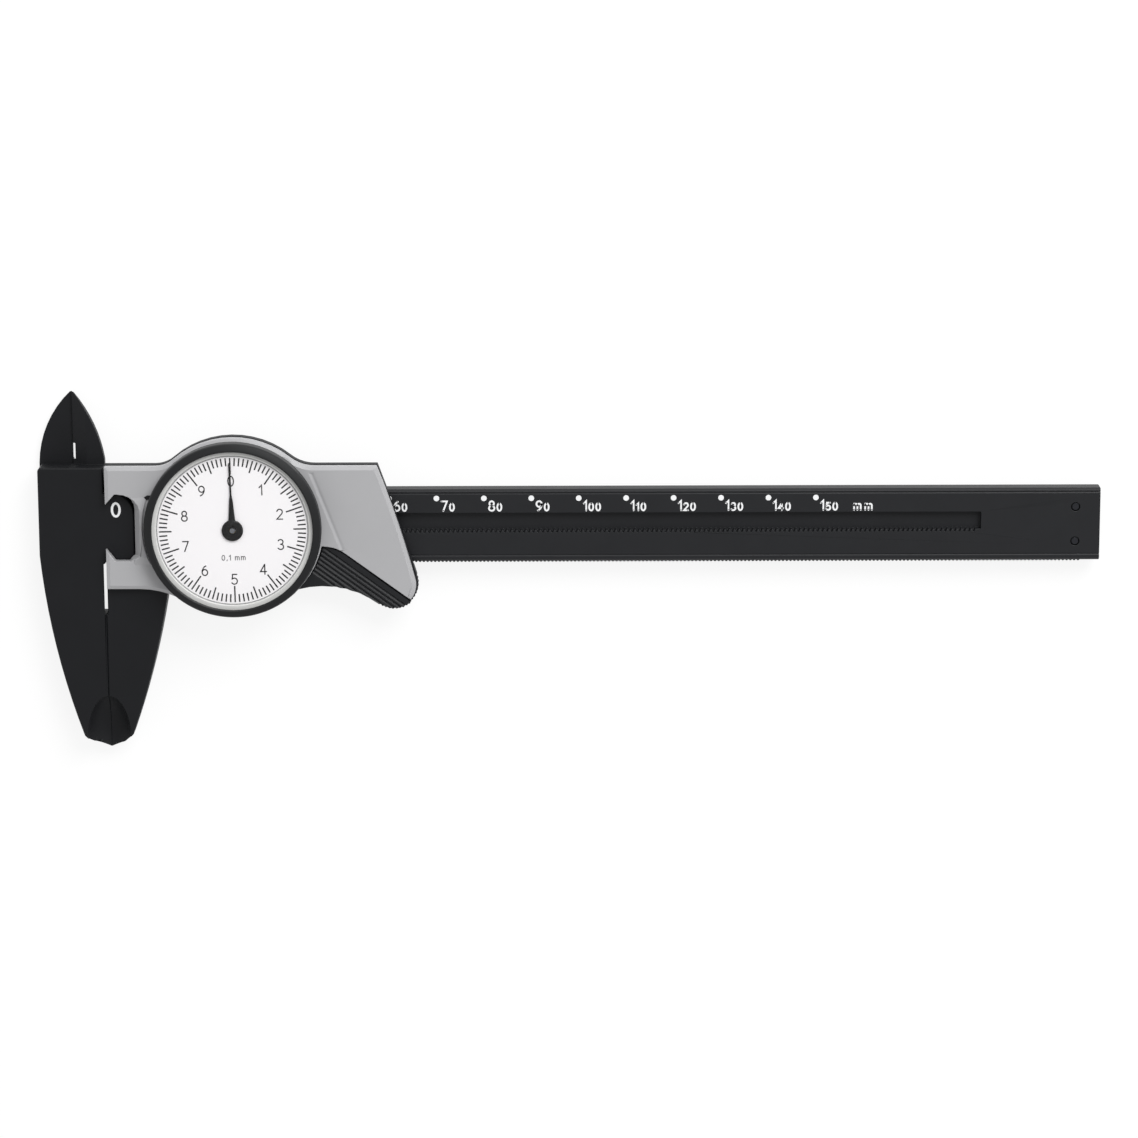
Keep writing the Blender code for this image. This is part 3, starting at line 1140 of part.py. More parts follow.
def make_mesh_spring(material, parent):
    """The bowed leaf that pushes the movement towards the rack, so that the teeth stay in mesh."""
    reach = PLATE_HALF - MESH_SPRING_INSET
    radius = MOVEMENT_BAY_RADIUS - SEAT_GAP - LEAF_THICKNESS
    end_y = math.sqrt(radius ** 2 - reach ** 2)
    middle_y = PLATE_WIDTH / 2.0 + SEAT_GAP + LEAF_THICKNESS / 2.0
    points = arc_through((-reach, end_y), (0.0, middle_y), (reach, end_y), MESH_SPRING_STEPS)
    low = PLATE_BACK_Z + SEAT_GAP
    return finish(leaf("mesh_spring", points, low, low + LEAF_HEIGHT), material, parent)


def make_bezel(material, parent):
    """The black bezel ring: a domed face, a lip over the crystal and a groove for the wire."""
    rim = BEZEL_BACK_Z + BEZEL_RIM_HEIGHT
    lip = BEZEL_FRONT_Z - BEZEL_LIP
    groove_radius = BEZEL_BORE_RADIUS + SNAP_GROOVE_DEPTH
    groove_low = SNAP_MIDDLE_Z - SNAP_GROOVE_HEIGHT / 2.0
    groove_high = SNAP_MIDDLE_Z + SNAP_GROOVE_HEIGHT / 2.0
    profile = [(BEZEL_BORE_RADIUS, BEZEL_BACK_Z), (BEZEL_FOOT_RADIUS, BEZEL_BACK_Z)]
    profile += [(BEZEL_RADIUS, BEZEL_BACK_Z + BEZEL_FOOT_HEIGHT), (BEZEL_RADIUS, rim)]
    dome_width = BEZEL_RADIUS - BEZEL_OPENING_RADIUS
    for index in range(1, BEZEL_DOME_STEPS):
        angle = math.radians(90.0 * index / BEZEL_DOME_STEPS)
        radius = BEZEL_RADIUS - dome_width * (1.0 - math.cos(angle))
        profile.append((radius, rim + (BEZEL_FRONT_Z - rim) * math.sin(angle)))
    profile += [(BEZEL_OPENING_RADIUS + BEZEL_LIP_EDGE, BEZEL_FRONT_Z)]
    profile += [(BEZEL_OPENING_RADIUS, BEZEL_FRONT_Z - BEZEL_LIP_EDGE), (BEZEL_OPENING_RADIUS, lip)]
    profile += [(BEZEL_BORE_RADIUS, lip), (BEZEL_BORE_RADIUS, groove_high), (groove_radius, groove_high)]
    profile += [(groove_radius, groove_low), (BEZEL_BORE_RADIUS, groove_low)]
    return finish(turned("bezel", profile), material, parent)


def make_snap_ring(material, parent):
    """The open wire ring that lies half in the spigot's groove and half in the bezel's."""
    curve = bpy.data.curves.new("bezel_snap_ring", "CURVE")
    curve.dimensions = "3D"
    curve.bevel_depth = SNAP_WIRE_RADIUS * MM
    curve.bevel_resolution = 1
    curve.use_fill_caps = True
    radius = (SPIGOT_RADIUS + BEZEL_BORE_RADIUS) / 2.0
    half_gap = SNAP_GAP_ANGLE / 2.0
    poly_spline(curve, arc((0.0, 0.0), radius, half_gap, 360.0 - half_gap, SNAP_STEPS), SNAP_MIDDLE_Z)
    item = link(bpy.data.objects.new("bezel_snap_ring", curve_mesh(curve)))
    tidy_mesh(item.data)
    return finish(item, material, parent)


def make_dial(material, parent):
    """The dial disc, printed on its face, that turns with the bezel."""
    profile = [(DIAL_HOLE_RADIUS, DIAL_BACK_Z), (DISC_RADIUS, DIAL_BACK_Z), (DISC_RADIUS, DIAL_FRONT_Z)]
    profile += [(DIAL_HOLE_RADIUS, DIAL_FRONT_Z)]
    return finish(turned("dial", profile), material, parent)


def make_spacer(material, parent):
    """The bright ring between the dial and the crystal."""
    low = DIAL_FRONT_Z + SEAT_GAP
    high = low + SPACER_THICKNESS
    profile = [(SPACER_INNER_RADIUS, low), (DISC_RADIUS, low), (DISC_RADIUS, high)]
    profile += [(SPACER_INNER_RADIUS + SPACER_SLOPE, high), (SPACER_INNER_RADIUS, low + SPACER_EDGE)]
    return finish(turned("dial_spacer_ring", profile), material, parent)


def make_crystal(material, parent):
    """The clear crystal, with a bevelled edge under the bezel's lip."""
    profile = [(0.0, CRYSTAL_BACK_Z), (DISC_RADIUS, CRYSTAL_BACK_Z)]
    profile += [(DISC_RADIUS, CRYSTAL_FRONT_Z - CRYSTAL_BEVEL)]
    profile += [(DISC_RADIUS - CRYSTAL_BEVEL, CRYSTAL_FRONT_Z), (0.0, CRYSTAL_FRONT_Z)]
    return finish(turned("crystal", profile), material, parent)


def involute_angle(base_radius, radius):
    """Polar angle of a standard involute where it reaches a radius."""
    pressure = math.acos(min(1.0, base_radius / radius))
    return math.tan(pressure) - pressure


def pinion_outline():
    """The pinion's teeth: involute flanks on a 20 degree base circle, radial below it."""
    base = PITCH_RADIUS * math.cos(PRESSURE_ANGLE)
    tip = PITCH_RADIUS + PINION_ADDENDUM
    root = PITCH_RADIUS - RACK_ADDENDUM - TOOTH_ROOT_CLEARANCE
    half_at_pitch = (RACK_PITCH / 4.0 - TOOTH_BACKLASH / 2.0) / PITCH_RADIUS
    half_at_base = half_at_pitch + involute_angle(base, PITCH_RADIUS)
    flank = [(root, half_at_base)]
    for step in range(FLANK_STEPS + 1):
        radius = base + (tip - base) * step / FLANK_STEPS
        flank.append((radius, half_at_base - involute_angle(base, radius)))
    points = []
    for tooth in range(PINION_TEETH):
        middle = -math.pi / 2.0 + 2.0 * math.pi * tooth / PINION_TEETH
        for radius, half in flank:
            points.append((radius * math.cos(middle - half), radius * math.sin(middle - half)))
        for radius, half in reversed(flank):
            points.append((radius * math.cos(middle + half), radius * math.sin(middle + half)))
    return points


def make_pinion(material, parent):
    """The pinion cut on the lower end of its arbor."""
    pinion = plate("pinion_arbor", pinion_outline(), PINION_BACK_Z, PINION_BACK_Z + PINION_FACE)
    arbor_top = POINTER_FRONT_Z + ARBOR_PROUD
    join(pinion, rod("arbor", 0.0, 0.0, ARBOR_RADIUS, PINION_BACK_Z + OVERLAP, arbor_top, SMALL_SEGMENTS))
    return finish(pinion, material, parent)


def make_pointer(material, parent):
    """The pointer: a round hub on the arbor's end with a tapered needle."""
    bore = ARBOR_RADIUS + BORE_GAP
    edge_z = POINTER_FRONT_Z - HUB_EDGE / 2.0
    hub = [(bore, POINTER_BACK_Z), (HUB_RADIUS, POINTER_BACK_Z), (HUB_RADIUS, edge_z)]
    hub += [(HUB_RADIUS - HUB_EDGE, POINTER_FRONT_Z), (bore, POINTER_FRONT_Z)]
    pointer = turned("pointer", hub, HUB_SEGMENTS)
    root_y = (HUB_RADIUS + ARBOR_RADIUS) / 2.0
    needle = [(POINTER_ROOT_WIDTH / 2.0, root_y), (POINTER_WAIST_WIDTH / 2.0, POINTER_WAIST)]
    needle += [(POINTER_TIP_WIDTH / 2.0, POINTER_WAIST + POINTER_WAIST_TAPER)]
    needle += [(POINTER_TIP_WIDTH / 2.0, POINTER_REACH)]
    needle += [(-x, y) for x, y in reversed(needle)]
    join(pointer, plate("needle", needle, POINTER_BACK_Z + NEEDLE_LIFT, edge_z))
    pointer.data.transform(Matrix.Rotation(POINTER_REST_ANGLE, 4, "Z"))
    return finish(pointer, material, parent)


def make_empty(name, x, y, parent=None):
    """An empty that carries a group of pieces."""
    item = bpy.data.objects.new(name, None)
    item.location = (x * MM, y * MM, 0.0)
    item.parent = parent
    PARTS.objects.link(item)
    return item


clear_scene()
PARTS = bpy.data.collections.new("dial_caliper")
bpy.context.scene.collection.children.link(PARTS)

black_plastic = make_material("black_plastic", BLACK, 0.45)
silver_plastic = make_material("silver_plastic", SILVER, 0.35, 0.3)
white_print = make_material("dial_white", WHITE, 0.5)
clear_plastic = make_material("clear_plastic", (0.95, 0.95, 0.95), 0.05, 0.0, 0.3)
steel = make_material("steel", (0.55, 0.55, 0.56), 0.3, 1.0)
brass = make_material("brass", (0.66, 0.48, 0.20), 0.3, 1.0)
pointer_black = make_material("pointer_black", (0.012, 0.012, 0.013), 0.4)

frame = make_empty("caliper_frame", -MODEL_MIDDLE_X, -MODEL_MIDDLE_Y)
slide = make_empty("slide_frame", 0.0, 0.0, frame)
movement = make_empty("movement_frame", DIAL_X, DIAL_Y, slide)
dial_axis = make_empty("dial_axis", DIAL_X, DIAL_Y, slide)
pointer_axis = make_empty("pointer_axis", DIAL_X, DIAL_Y, slide)

make_beam(black_plastic, frame)
make_end_stop(black_plastic, frame)
make_stop_pin("stop_pin_upper", STOP_PIN_Y, steel, frame)
make_stop_pin("stop_pin_lower", -STOP_PIN_Y, steel, frame)

make_slide_body(black_plastic, slide)
make_cover(silver_plastic, slide)
for number, screw_place in enumerate(SCREW_PLACES, 1):
    make_cover_screw(f"cover_screw_{number}", screw_place, steel, slide)
make_depth_rod(black_plastic, slide)
make_slide_spring(steel, slide)

make_movement_plate(brass, movement)
make_bush("lower_bush", PLATE_BACK_Z, PLATE_FRONT_Z + SEAT_GAP, True, brass, movement)
make_bridge(brass, movement)
make_bush("upper_bush", BRIDGE_BACK_Z - SEAT_GAP, BRIDGE_FRONT_Z, False, brass, movement)
pillar_foot = PLATE_BACK_Z + OVERLAP + 2.0 * SEAT_GAP
for number, direction in enumerate((1.0, -1.0), 1):
    make_small_screw(f"bridge_screw_{number}", direction * PILLAR_X, 0.0, pillar_foot, BRIDGE_FRONT_Z, steel,
                     movement)
    make_small_screw(f"plate_screw_{number}", direction * PLATE_SCREW_X, -direction * PLATE_SCREW_Y,
                     CHANNEL_FRONT_Z + SEAT_GAP, PLATE_FRONT_Z, steel, movement)
make_mesh_spring(steel, movement)

make_bezel(black_plastic, dial_axis)
make_snap_ring(steel, movement)
make_dial(white_print, dial_axis)
make_spacer(silver_plastic, dial_axis)
make_crystal(clear_plastic, dial_axis)

make_pinion(steel, pointer_axis)
make_pointer(pointer_black, pointer_axis)
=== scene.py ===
"""Looks of the 150 mm dial caliper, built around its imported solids."""
import json
import math

import bmesh
import bpy
from mathutils import Matrix, Vector

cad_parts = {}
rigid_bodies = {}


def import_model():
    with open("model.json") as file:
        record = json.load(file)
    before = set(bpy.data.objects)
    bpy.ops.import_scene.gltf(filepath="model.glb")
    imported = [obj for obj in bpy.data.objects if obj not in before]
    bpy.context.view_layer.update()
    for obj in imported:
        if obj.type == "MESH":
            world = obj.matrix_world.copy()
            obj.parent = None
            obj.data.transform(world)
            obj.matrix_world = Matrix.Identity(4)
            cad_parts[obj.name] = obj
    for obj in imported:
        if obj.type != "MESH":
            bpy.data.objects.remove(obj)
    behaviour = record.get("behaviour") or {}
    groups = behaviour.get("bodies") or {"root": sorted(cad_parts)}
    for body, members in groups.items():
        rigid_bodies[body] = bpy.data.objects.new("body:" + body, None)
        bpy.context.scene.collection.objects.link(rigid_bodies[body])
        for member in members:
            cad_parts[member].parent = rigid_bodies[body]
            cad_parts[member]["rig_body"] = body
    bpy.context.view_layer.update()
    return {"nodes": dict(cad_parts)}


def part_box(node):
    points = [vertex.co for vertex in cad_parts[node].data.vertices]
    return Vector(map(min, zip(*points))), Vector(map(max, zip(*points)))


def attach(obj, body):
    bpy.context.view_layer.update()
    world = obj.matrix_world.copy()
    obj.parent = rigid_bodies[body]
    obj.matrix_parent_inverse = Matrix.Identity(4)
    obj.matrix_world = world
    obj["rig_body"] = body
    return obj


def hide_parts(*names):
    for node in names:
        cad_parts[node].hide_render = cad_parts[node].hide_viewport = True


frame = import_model()
nodes = frame["nodes"]

# Camera, table and lamp. A long lens looks down on the caliper, from a little beyond its upper edge.
# The table is white card, which glows so that it shows white, lit by one broad lamp up and to the
# right and by a pale room that is brighter near its walls.
MM = 0.001
BEAM_REACH = 210.0
DIAL_RISE = 0.45
CAMERA_AIM = (97.91, -9.45, 5.9)
CAMERA_TILT = math.radians(12.38)
CAMERA_ROLL = math.radians(0.152)
CAMERA_DISTANCE = 0.88866
CAMERA_LENS = 132.87
TABLE_SIZE = 6.0
CARD_GLOW = 1.06
CARD_GLOW_SHARE = 0.8
LAMP_PLACE = Vector((0.4, 0.82, 0.82))
LAMP_SIZE = 0.7
LAMP_POWER = 11.0
ROOM_WALL_LIGHT = 0.85
ROOM_CEILING_LIGHT = 0.4

dial_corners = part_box("dial")
dial_centre = (dial_corners[0] + dial_corners[1]) / 2.0
jaw_plane = Vector((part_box("beam")[1].x - BEAM_REACH * MM, dial_centre.y - DIAL_RISE * MM, 0.0))


def at(x, y, z=0.0):
    """A place in millimetres from the jaws' meeting plane, the beam's centre line and the table."""
    return jaw_plane + Vector((x, y, z)) * MM


def srgb(code):
    """A hex colour as linear red, green and blue."""
    channels = [int(code[start:start + 2], 16) / 255.0 for start in (1, 3, 5)]
    linear = [value / 12.92 if value <= 0.04045 else ((value + 0.055) / 1.055) ** 2.4 for value in channels]
    return (*linear, 1.0)


def add_node(tree, kind, settings=None, inputs=None):
    """Add a node; inputs are values, or sockets to link from."""
    node = tree.nodes.new(kind)
    for name, value in (settings or {}).items():
        setattr(node, name, value)
    for key, value in (inputs or {}).items():
        socket = node.inputs[key]
        if isinstance(value, bpy.types.NodeSocket):
            tree.links.new(value, socket)
        else:
            socket.default_value = value
    return node


def empty_material(name):
    """A material with nothing but its output."""
    material = bpy.data.materials.new(name)
    material.use_nodes = True
    tree = material.node_tree
    tree.nodes.clear()
    return material, tree, tree.nodes.new("ShaderNodeOutputMaterial")


camera = bpy.data.objects.new("camera", bpy.data.cameras.new("camera"))
bpy.context.scene.collection.objects.link(camera)
camera.data.lens = CAMERA_LENS
camera.data.sensor_width = 36.0
camera.data.clip_start = 0.01
camera.data.clip_end = 20.0
towards_camera = Vector((0.0, math.sin(CAMERA_TILT), math.cos(CAMERA_TILT)))
camera.matrix_world = (
    Matrix.Translation(at(*CAMERA_AIM) + towards_camera * CAMERA_DISTANCE)
    @ Matrix.Rotation(-CAMERA_TILT, 4, "X")
    @ Matrix.Rotation(-CAMERA_ROLL, 4, "Z")
)
bpy.context.scene.camera = camera
bpy.context.scene.view_settings.view_transform = "Standard"

card, tree, output = empty_material("white_card")
rays = add_node(tree, "ShaderNodeLightPath")
seen = add_node(tree, "ShaderNodeMath", {"operation": "MAXIMUM"},
                {0: rays.outputs["Is Camera Ray"], 1: rays.outputs["Is Glossy Ray"]})
seen = add_node(tree, "ShaderNodeMath", {"operation": "MAXIMUM"},
                {0: seen.outputs[0], 1: rays.outputs["Is Transmission Ray"]})
share = add_node(tree, "ShaderNodeMath", {"operation": "MULTIPLY"},
                 {0: seen.outputs[0], 1: CARD_GLOW_SHARE})
paper = add_node(tree, "ShaderNodeBsdfDiffuse", None, {"Color": srgb("#f4f4f4")})
glow = add_node(tree, "ShaderNodeEmission", None, {"Color": srgb("#ffffff"), "Strength": CARD_GLOW})
mixed = add_node(tree, "ShaderNodeMixShader", None,
                 {0: share.outputs[0], 1: paper.outputs[0], 2: glow.outputs[0]})
tree.links.new(mixed.outputs[0], output.inputs["Surface"])

table_mesh = bpy.data.meshes.new("table")
work = bmesh.new()
bmesh.ops.create_grid(work, x_segments=1, y_segments=1, size=TABLE_SIZE)
work.to_mesh(table_mesh)
work.free()
table = bpy.data.objects.new("table", table_mesh)
table_mesh.materials.append(card)
bpy.context.scene.collection.objects.link(table)

world = bpy.data.worlds.new("pale_room")
bpy.context.scene.world = world
world.use_nodes = True
tree = world.node_tree
tree.nodes.clear()
output = tree.nodes.new("ShaderNodeOutputWorld")
rays = add_node(tree, "ShaderNodeLightPath")
way = add_node(tree, "ShaderNodeTexCoord")
height = add_node(tree, "ShaderNodeSeparateXYZ", None, {0: way.outputs["Generated"]})
level = add_node(tree, "ShaderNodeMapRange", None,
                 {"Value": height.outputs["Z"], "To Min": ROOM_WALL_LIGHT, "To Max": ROOM_CEILING_LIGHT})
room = add_node(tree, "ShaderNodeBackground", None,
                {"Color": srgb("#ffffff"), "Strength": level.outputs["Result"]})
shown = add_node(tree, "ShaderNodeBackground", None, {"Color": srgb("#ffffff"), "Strength": 1.0})
mixed = add_node(tree, "ShaderNodeMixShader", None,
                 {0: rays.outputs["Is Camera Ray"], 1: room.outputs[0], 2: shown.outputs[0]})
tree.links.new(mixed.outputs[0], output.inputs["Surface"])

lamp = bpy.data.objects.new("broad_lamp", bpy.data.lights.new("broad_lamp", "AREA"))
lamp.data.shape = "SQUARE"
lamp.data.size = LAMP_SIZE
lamp.data.energy = LAMP_POWER
lamp.location = LAMP_PLACE
lamp.rotation_euler = (-LAMP_PLACE).to_track_quat("-Z", "Y").to_euler()
bpy.context.scene.collection.objects.link(lamp)

# Beam, one moulding of glass-filled black nylon with the fixed jaw, the front inside blade and the
# rack. The mould was spark-eroded, which leaves a fine satin grain, and its edges are slightly soft.
# The jaw's faces are eroded deeper than the beam's and look darker.
BEAM_FACE = 5.9
GRAIN = 0.22 * MM
GRAIN_HEIGHT = 0.02 * MM
CLOUD_SCALE = 160.0
GLOSS_SPREAD = 0.05
EDGE_SOFTNESS = 0.09 * MM
EDGE_SEGMENTS = 2
SHARP_ANGLE = math.radians(28.0)
MERGE_DISTANCE = 0.001 * MM
FLAT_ANGLE = math.radians(0.5)
LARGE_FACE_WEIGHT = 90


def grained_finish(name, colour, roughness, specular, mottle, grain_strength=0.35):
    """A plastic or lacquer with a grain in its surface and a faint cloudiness in its colour.

    The grain is drawn coarser than a real texture of this kind, so that it shows in the render.
    """
    material, tree, output = empty_material(name)
    place = add_node(tree, "ShaderNodeTexCoord")
    cloud = add_node(tree, "ShaderNodeTexNoise", None,
                     {"Vector": place.outputs["Object"], "Scale": CLOUD_SCALE, "Detail": 3.0,
                      "Roughness": 0.6})
    dark = tuple(channel * (1.0 - mottle) for channel in srgb(colour)[:3])
    light = tuple(channel * (1.0 + mottle) for channel in srgb(colour)[:3])
    tint = add_node(tree, "ShaderNodeMix", {"data_type": "RGBA"},
                    {"Factor": cloud.outputs["Fac"], "A": (*dark, 1.0), "B": (*light, 1.0)})
    grain = add_node(tree, "ShaderNodeTexNoise", None,
                     {"Vector": place.outputs["Object"], "Scale": 1.0 / GRAIN, "Detail": 2.0,
                      "Roughness": 0.55})
    relief = add_node(tree, "ShaderNodeBump", None,
                      {"Height": grain.outputs["Fac"], "Strength": grain_strength, "Distance": GRAIN_HEIGHT})
    gloss = add_node(tree, "ShaderNodeMapRange", None,
                     {"Value": cloud.outputs["Fac"], "To Min": roughness - GLOSS_SPREAD,
                      "To Max": roughness + GLOSS_SPREAD})
    shader = add_node(tree, "ShaderNodeBsdfPrincipled", None,
                      {"Base Color": tint.outputs["Result"], "Roughness": gloss.outputs["Result"],
                       "Specular IOR Level": specular, "Normal": relief.outputs["Normal"]})
    tree.links.new(shader.outputs[0], output.inputs["Surface"])
    return material


def mesh_object(name, mesh, *materials):
    """A finished piece at the origin with its materials."""
    piece = bpy.data.objects.new(name, mesh)
    bpy.context.scene.collection.objects.link(piece)
    mesh.materials.clear()
    for material in materials:
        mesh.materials.append(material)
    return piece


def softened_copy(node, name, materials, softness=EDGE_SOFTNESS, sharp=SHARP_ANGLE):
    """A merged copy of a solid with its sharp edges rounded off, which stands for the solid.

    Flat areas are cut into triangles again before the rounding, because rounding them whole closed
    the cover's window.
    """
    work = bmesh.new()
    work.from_mesh(nodes[node].data)
    bmesh.ops.remove_doubles(work, verts=work.verts, dist=MERGE_DISTANCE)
    bmesh.ops.dissolve_limit(work, angle_limit=FLAT_ANGLE, verts=work.verts, edges=work.edges)
    large = [face for face in work.faces if len(face.verts) > 4]
    bmesh.ops.triangulate(work, faces=large, ngon_method="BEAUTY")
    mesh = bpy.data.meshes.new(name)
    work.to_mesh(mesh)
    work.free()
    piece = mesh_object(name, mesh, *materials)
    mesh.shade_smooth()
    mesh.set_sharp_from_angle(angle=sharp)
    if softness > 0.0:
        bevel = piece.modifiers.new("soft_edges", "BEVEL")
        bevel.width = softness
        bevel.segments = EDGE_SEGMENTS
        bevel.limit_method = "ANGLE"
        bevel.angle_limit = SHARP_ANGLE
        bevel.use_clamp_overlap = False
        bevel.miter_outer = "MITER_ARC"
        flats = piece.modifiers.new("even_flats", "WEIGHTED_NORMAL")
        flats.weight = LARGE_FACE_WEIGHT
        flats.keep_sharp = True
    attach(piece, nodes[node]["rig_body"])
    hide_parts(node)
    return piece


# Spark-eroded nylon is a dark grey rather than black, with a dull even sheen.
black_nylon = grained_finish("black_nylon_spark_eroded", "#1b1c1f", 0.5, 0.35, 0.12)
# The deeper texture scatters more, so it looks a step darker and drier.
deep_nylon = grained_finish("black_nylon_deep_eroded", "#141518", 0.55, 0.27, 0.14)
beam = softened_copy("beam", "beam_moulding", (black_nylon, deep_nylon))
for face in beam.data.polygons:
    if face.center.x < jaw_plane.x or face.center.z > BEAM_FACE * MM + EDGE_SOFTNESS:
        face.material_index = 1

# Grip along the beam's lower edge, moulded with the beam: a row of small upright ridges that gives
# the fingers hold while the slide is pushed. It stops short of the free end.
RIDGE_PITCH = 0.8
RIDGE_RADIUS = 0.3
RIDGE_START = 52.0
RIDGE_COUNT = 193
RIDGE_LOW = 2.3
RIDGE_HIGH = 5.45
RIDGE_PROUD = 0.22
RIDGE_SIDES = 10
BEAM_HALF = 7.75


def node_group(name, sizes):
    """A Geometry Nodes group with a geometry output and one named input for each size."""
    group = bpy.data.node_groups.new(name, "GeometryNodeTree")
    group.interface.new_socket("Geometry", in_out="INPUT", socket_type="NodeSocketGeometry")
    group.interface.new_socket("Geometry", in_out="OUTPUT", socket_type="NodeSocketGeometry")
    for label, value in sizes.items():
        kind = "NodeSocketVector" if isinstance(value, Vector) else "NodeSocketFloat"
        group.interface.new_socket(label, in_out="INPUT", socket_type=kind)
    return group, group.nodes.new("NodeGroupInput").outputs


def close_group(group, geometry, material):
    """End a group in real geometry with its material."""
    real = add_node(group, "GeometryNodeRealizeInstances", None, {"Geometry": geometry})
    painted = add_node(group, "GeometryNodeSetMaterial", None,
                       {"Geometry": real.outputs[0], "Material": material})
    add_node(group, "NodeGroupOutput", None, {0: painted.outputs[0]})


def made_by(group, name, sizes, material, body, start=None):
    """Run a group with its sizes, and keep what it makes as a plain mesh on a body."""
    piece = bpy.data.objects.new(name, start or bpy.data.meshes.new(name))
    bpy.context.scene.collection.objects.link(piece)
    recipe = piece.modifiers.new(name, "NODES")
    recipe.node_group = group
    for item in group.interface.items_tree:
        if item.in_out == "INPUT" and item.name in sizes:
            recipe[item.identifier] = sizes[item.name]
    bpy.context.view_layer.update()
    graph = bpy.context.evaluated_depsgraph_get()
    mesh = bpy.data.meshes.new_from_object(piece.evaluated_get(graph))
    piece.modifiers.clear()
    piece.data = mesh
    mesh.materials.clear()
    mesh.materials.append(material)
    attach(piece, body)
    return piece


ridge_middle = at(RIDGE_START, RIDGE_RADIUS - RIDGE_PROUD - BEAM_HALF, (RIDGE_LOW + RIDGE_HIGH) / 2.0)
ridge_sizes = {"First ridge": ridge_middle,
               "Step": Vector((RIDGE_PITCH * MM, 0.0, 0.0)), "Radius": RIDGE_RADIUS * MM,
               "Height": (RIDGE_HIGH - RIDGE_LOW) * MM}
group, sizes = node_group("edge_grip", ridge_sizes)
row = add_node(group, "GeometryNodeMeshLine", {"mode": "OFFSET"},
               {"Count": RIDGE_COUNT, "Start Location": sizes["First ridge"], "Offset": sizes["Step"]})
ridge = add_node(group, "GeometryNodeMeshCylinder", None,
                 {"Vertices": RIDGE_SIDES, "Radius": sizes["Radius"], "Depth": sizes["Height"]})
ridges = add_node(group, "GeometryNodeInstanceOnPoints", None,
                  {"Points": row.outputs[0], "Instance": ridge.outputs[0]})
close_group(group, ridges.outputs[0], black_nylon)
made_by(group, "beam_edge_grip", ridge_sizes, black_nylon, "fixed_frame")

# Scale on the beam, pad-printed in white ink: a dot at each 10 mm, the numbers from 10 to 150 with a
# tall first figure, and the unit. A large 0 stands on the pad that shows in the slide's window.
INK_HEIGHT = 0.03
INK_CLOUD_SCALE = 2500.0
DOT_RADIUS = 0.6
DOT_Y = 5.85
DOT_STEP = 10.0
DOT_COUNT = 16
DOT_SIDES = 24
NUMBER_BASE = 3.0
NUMBER_START = 0.85
FIRST_FIGURE = 2.4
OTHER_FIGURE = 1.9
FIGURE_GAP = 0.22
NUMBER_STROKE = 0.36
UNIT_START = 157.8
UNIT_HEIGHT = 2.2
WINDOW_ZERO = (2.55, 3.95)
WINDOW_ZERO_HALF = (1.05, 1.65)
WINDOW_ZERO_STROKE = 0.5
WINDOW_ZERO_STEPS = 48
ARC_STEP = 12.0
LEAST_ARC_STEPS = 4
LEAST_MITRE = 0.45
LETTER_GAP = 0.22
SPACE_WIDTH = 0.15
CAP_STEP = 36


def arc(x, y, wide, high, start, end):
    """Points along part of an ellipse, from one angle in degrees to another."""
    count = max(LEAST_ARC_STEPS, int(abs(end - start) / ARC_STEP))
    angles = [math.radians(start + (end - start) * step / count) for step in range(count + 1)]
    return [(x + wide * math.cos(angle), y + high * math.sin(angle)) for angle in angles]


# The strokes of each figure and letter, in a figure's height, from the left end of its base line.
SIX = (arc(0.6, 0.3, 0.57, 0.7, 108, 180), arc(0.3, 0.3, 0.27, 0.3, 180, 540))
STROKES = {
    "0": (arc(0.3, 0.5, 0.28, 0.5, 90, 450),),
    "1": ([(0.02, 0.74), (0.27, 1.0), (0.27, 0.0)],),
    "2": (arc(0.3, 0.72, 0.27, 0.28, 165, -38) + [(0.02, 0.0), (0.58, 0.0)],),
    "3": (arc(0.28, 0.76, 0.25, 0.24, 150, -90), arc(0.28, 0.26, 0.29, 0.26, 90, -150)),
    "4": ([(0.44, 0.0), (0.44, 1.0)], [(0.44, 1.0), (0.0, 0.27), (0.6, 0.27)]),
    "5": ([(0.54, 1.0), (0.12, 1.0), (0.07, 0.54)] + arc(0.28, 0.31, 0.29, 0.31, 128, -150),),
    "6": SIX,
    "7": ([(0.02, 1.0), (0.58, 1.0), (0.2, 0.0)],),
    "8": (arc(0.3, 0.76, 0.23, 0.24, -90, 270), arc(0.3, 0.26, 0.28, 0.26, 90, 450)),
    "9": tuple([(0.6 - x, 1.0 - y) for x, y in stroke] for stroke in SIX),
    "m": ([(0.05, 0.0), (0.05, 0.72)], arc(0.24, 0.5, 0.19, 0.2, 180, 0) + [(0.43, 0.0)],
          arc(0.62, 0.5, 0.19, 0.2, 180, 0) + [(0.81, 0.0)]),
    ",": ([(0.1, 0.08), (0.04, -0.14)],),
}


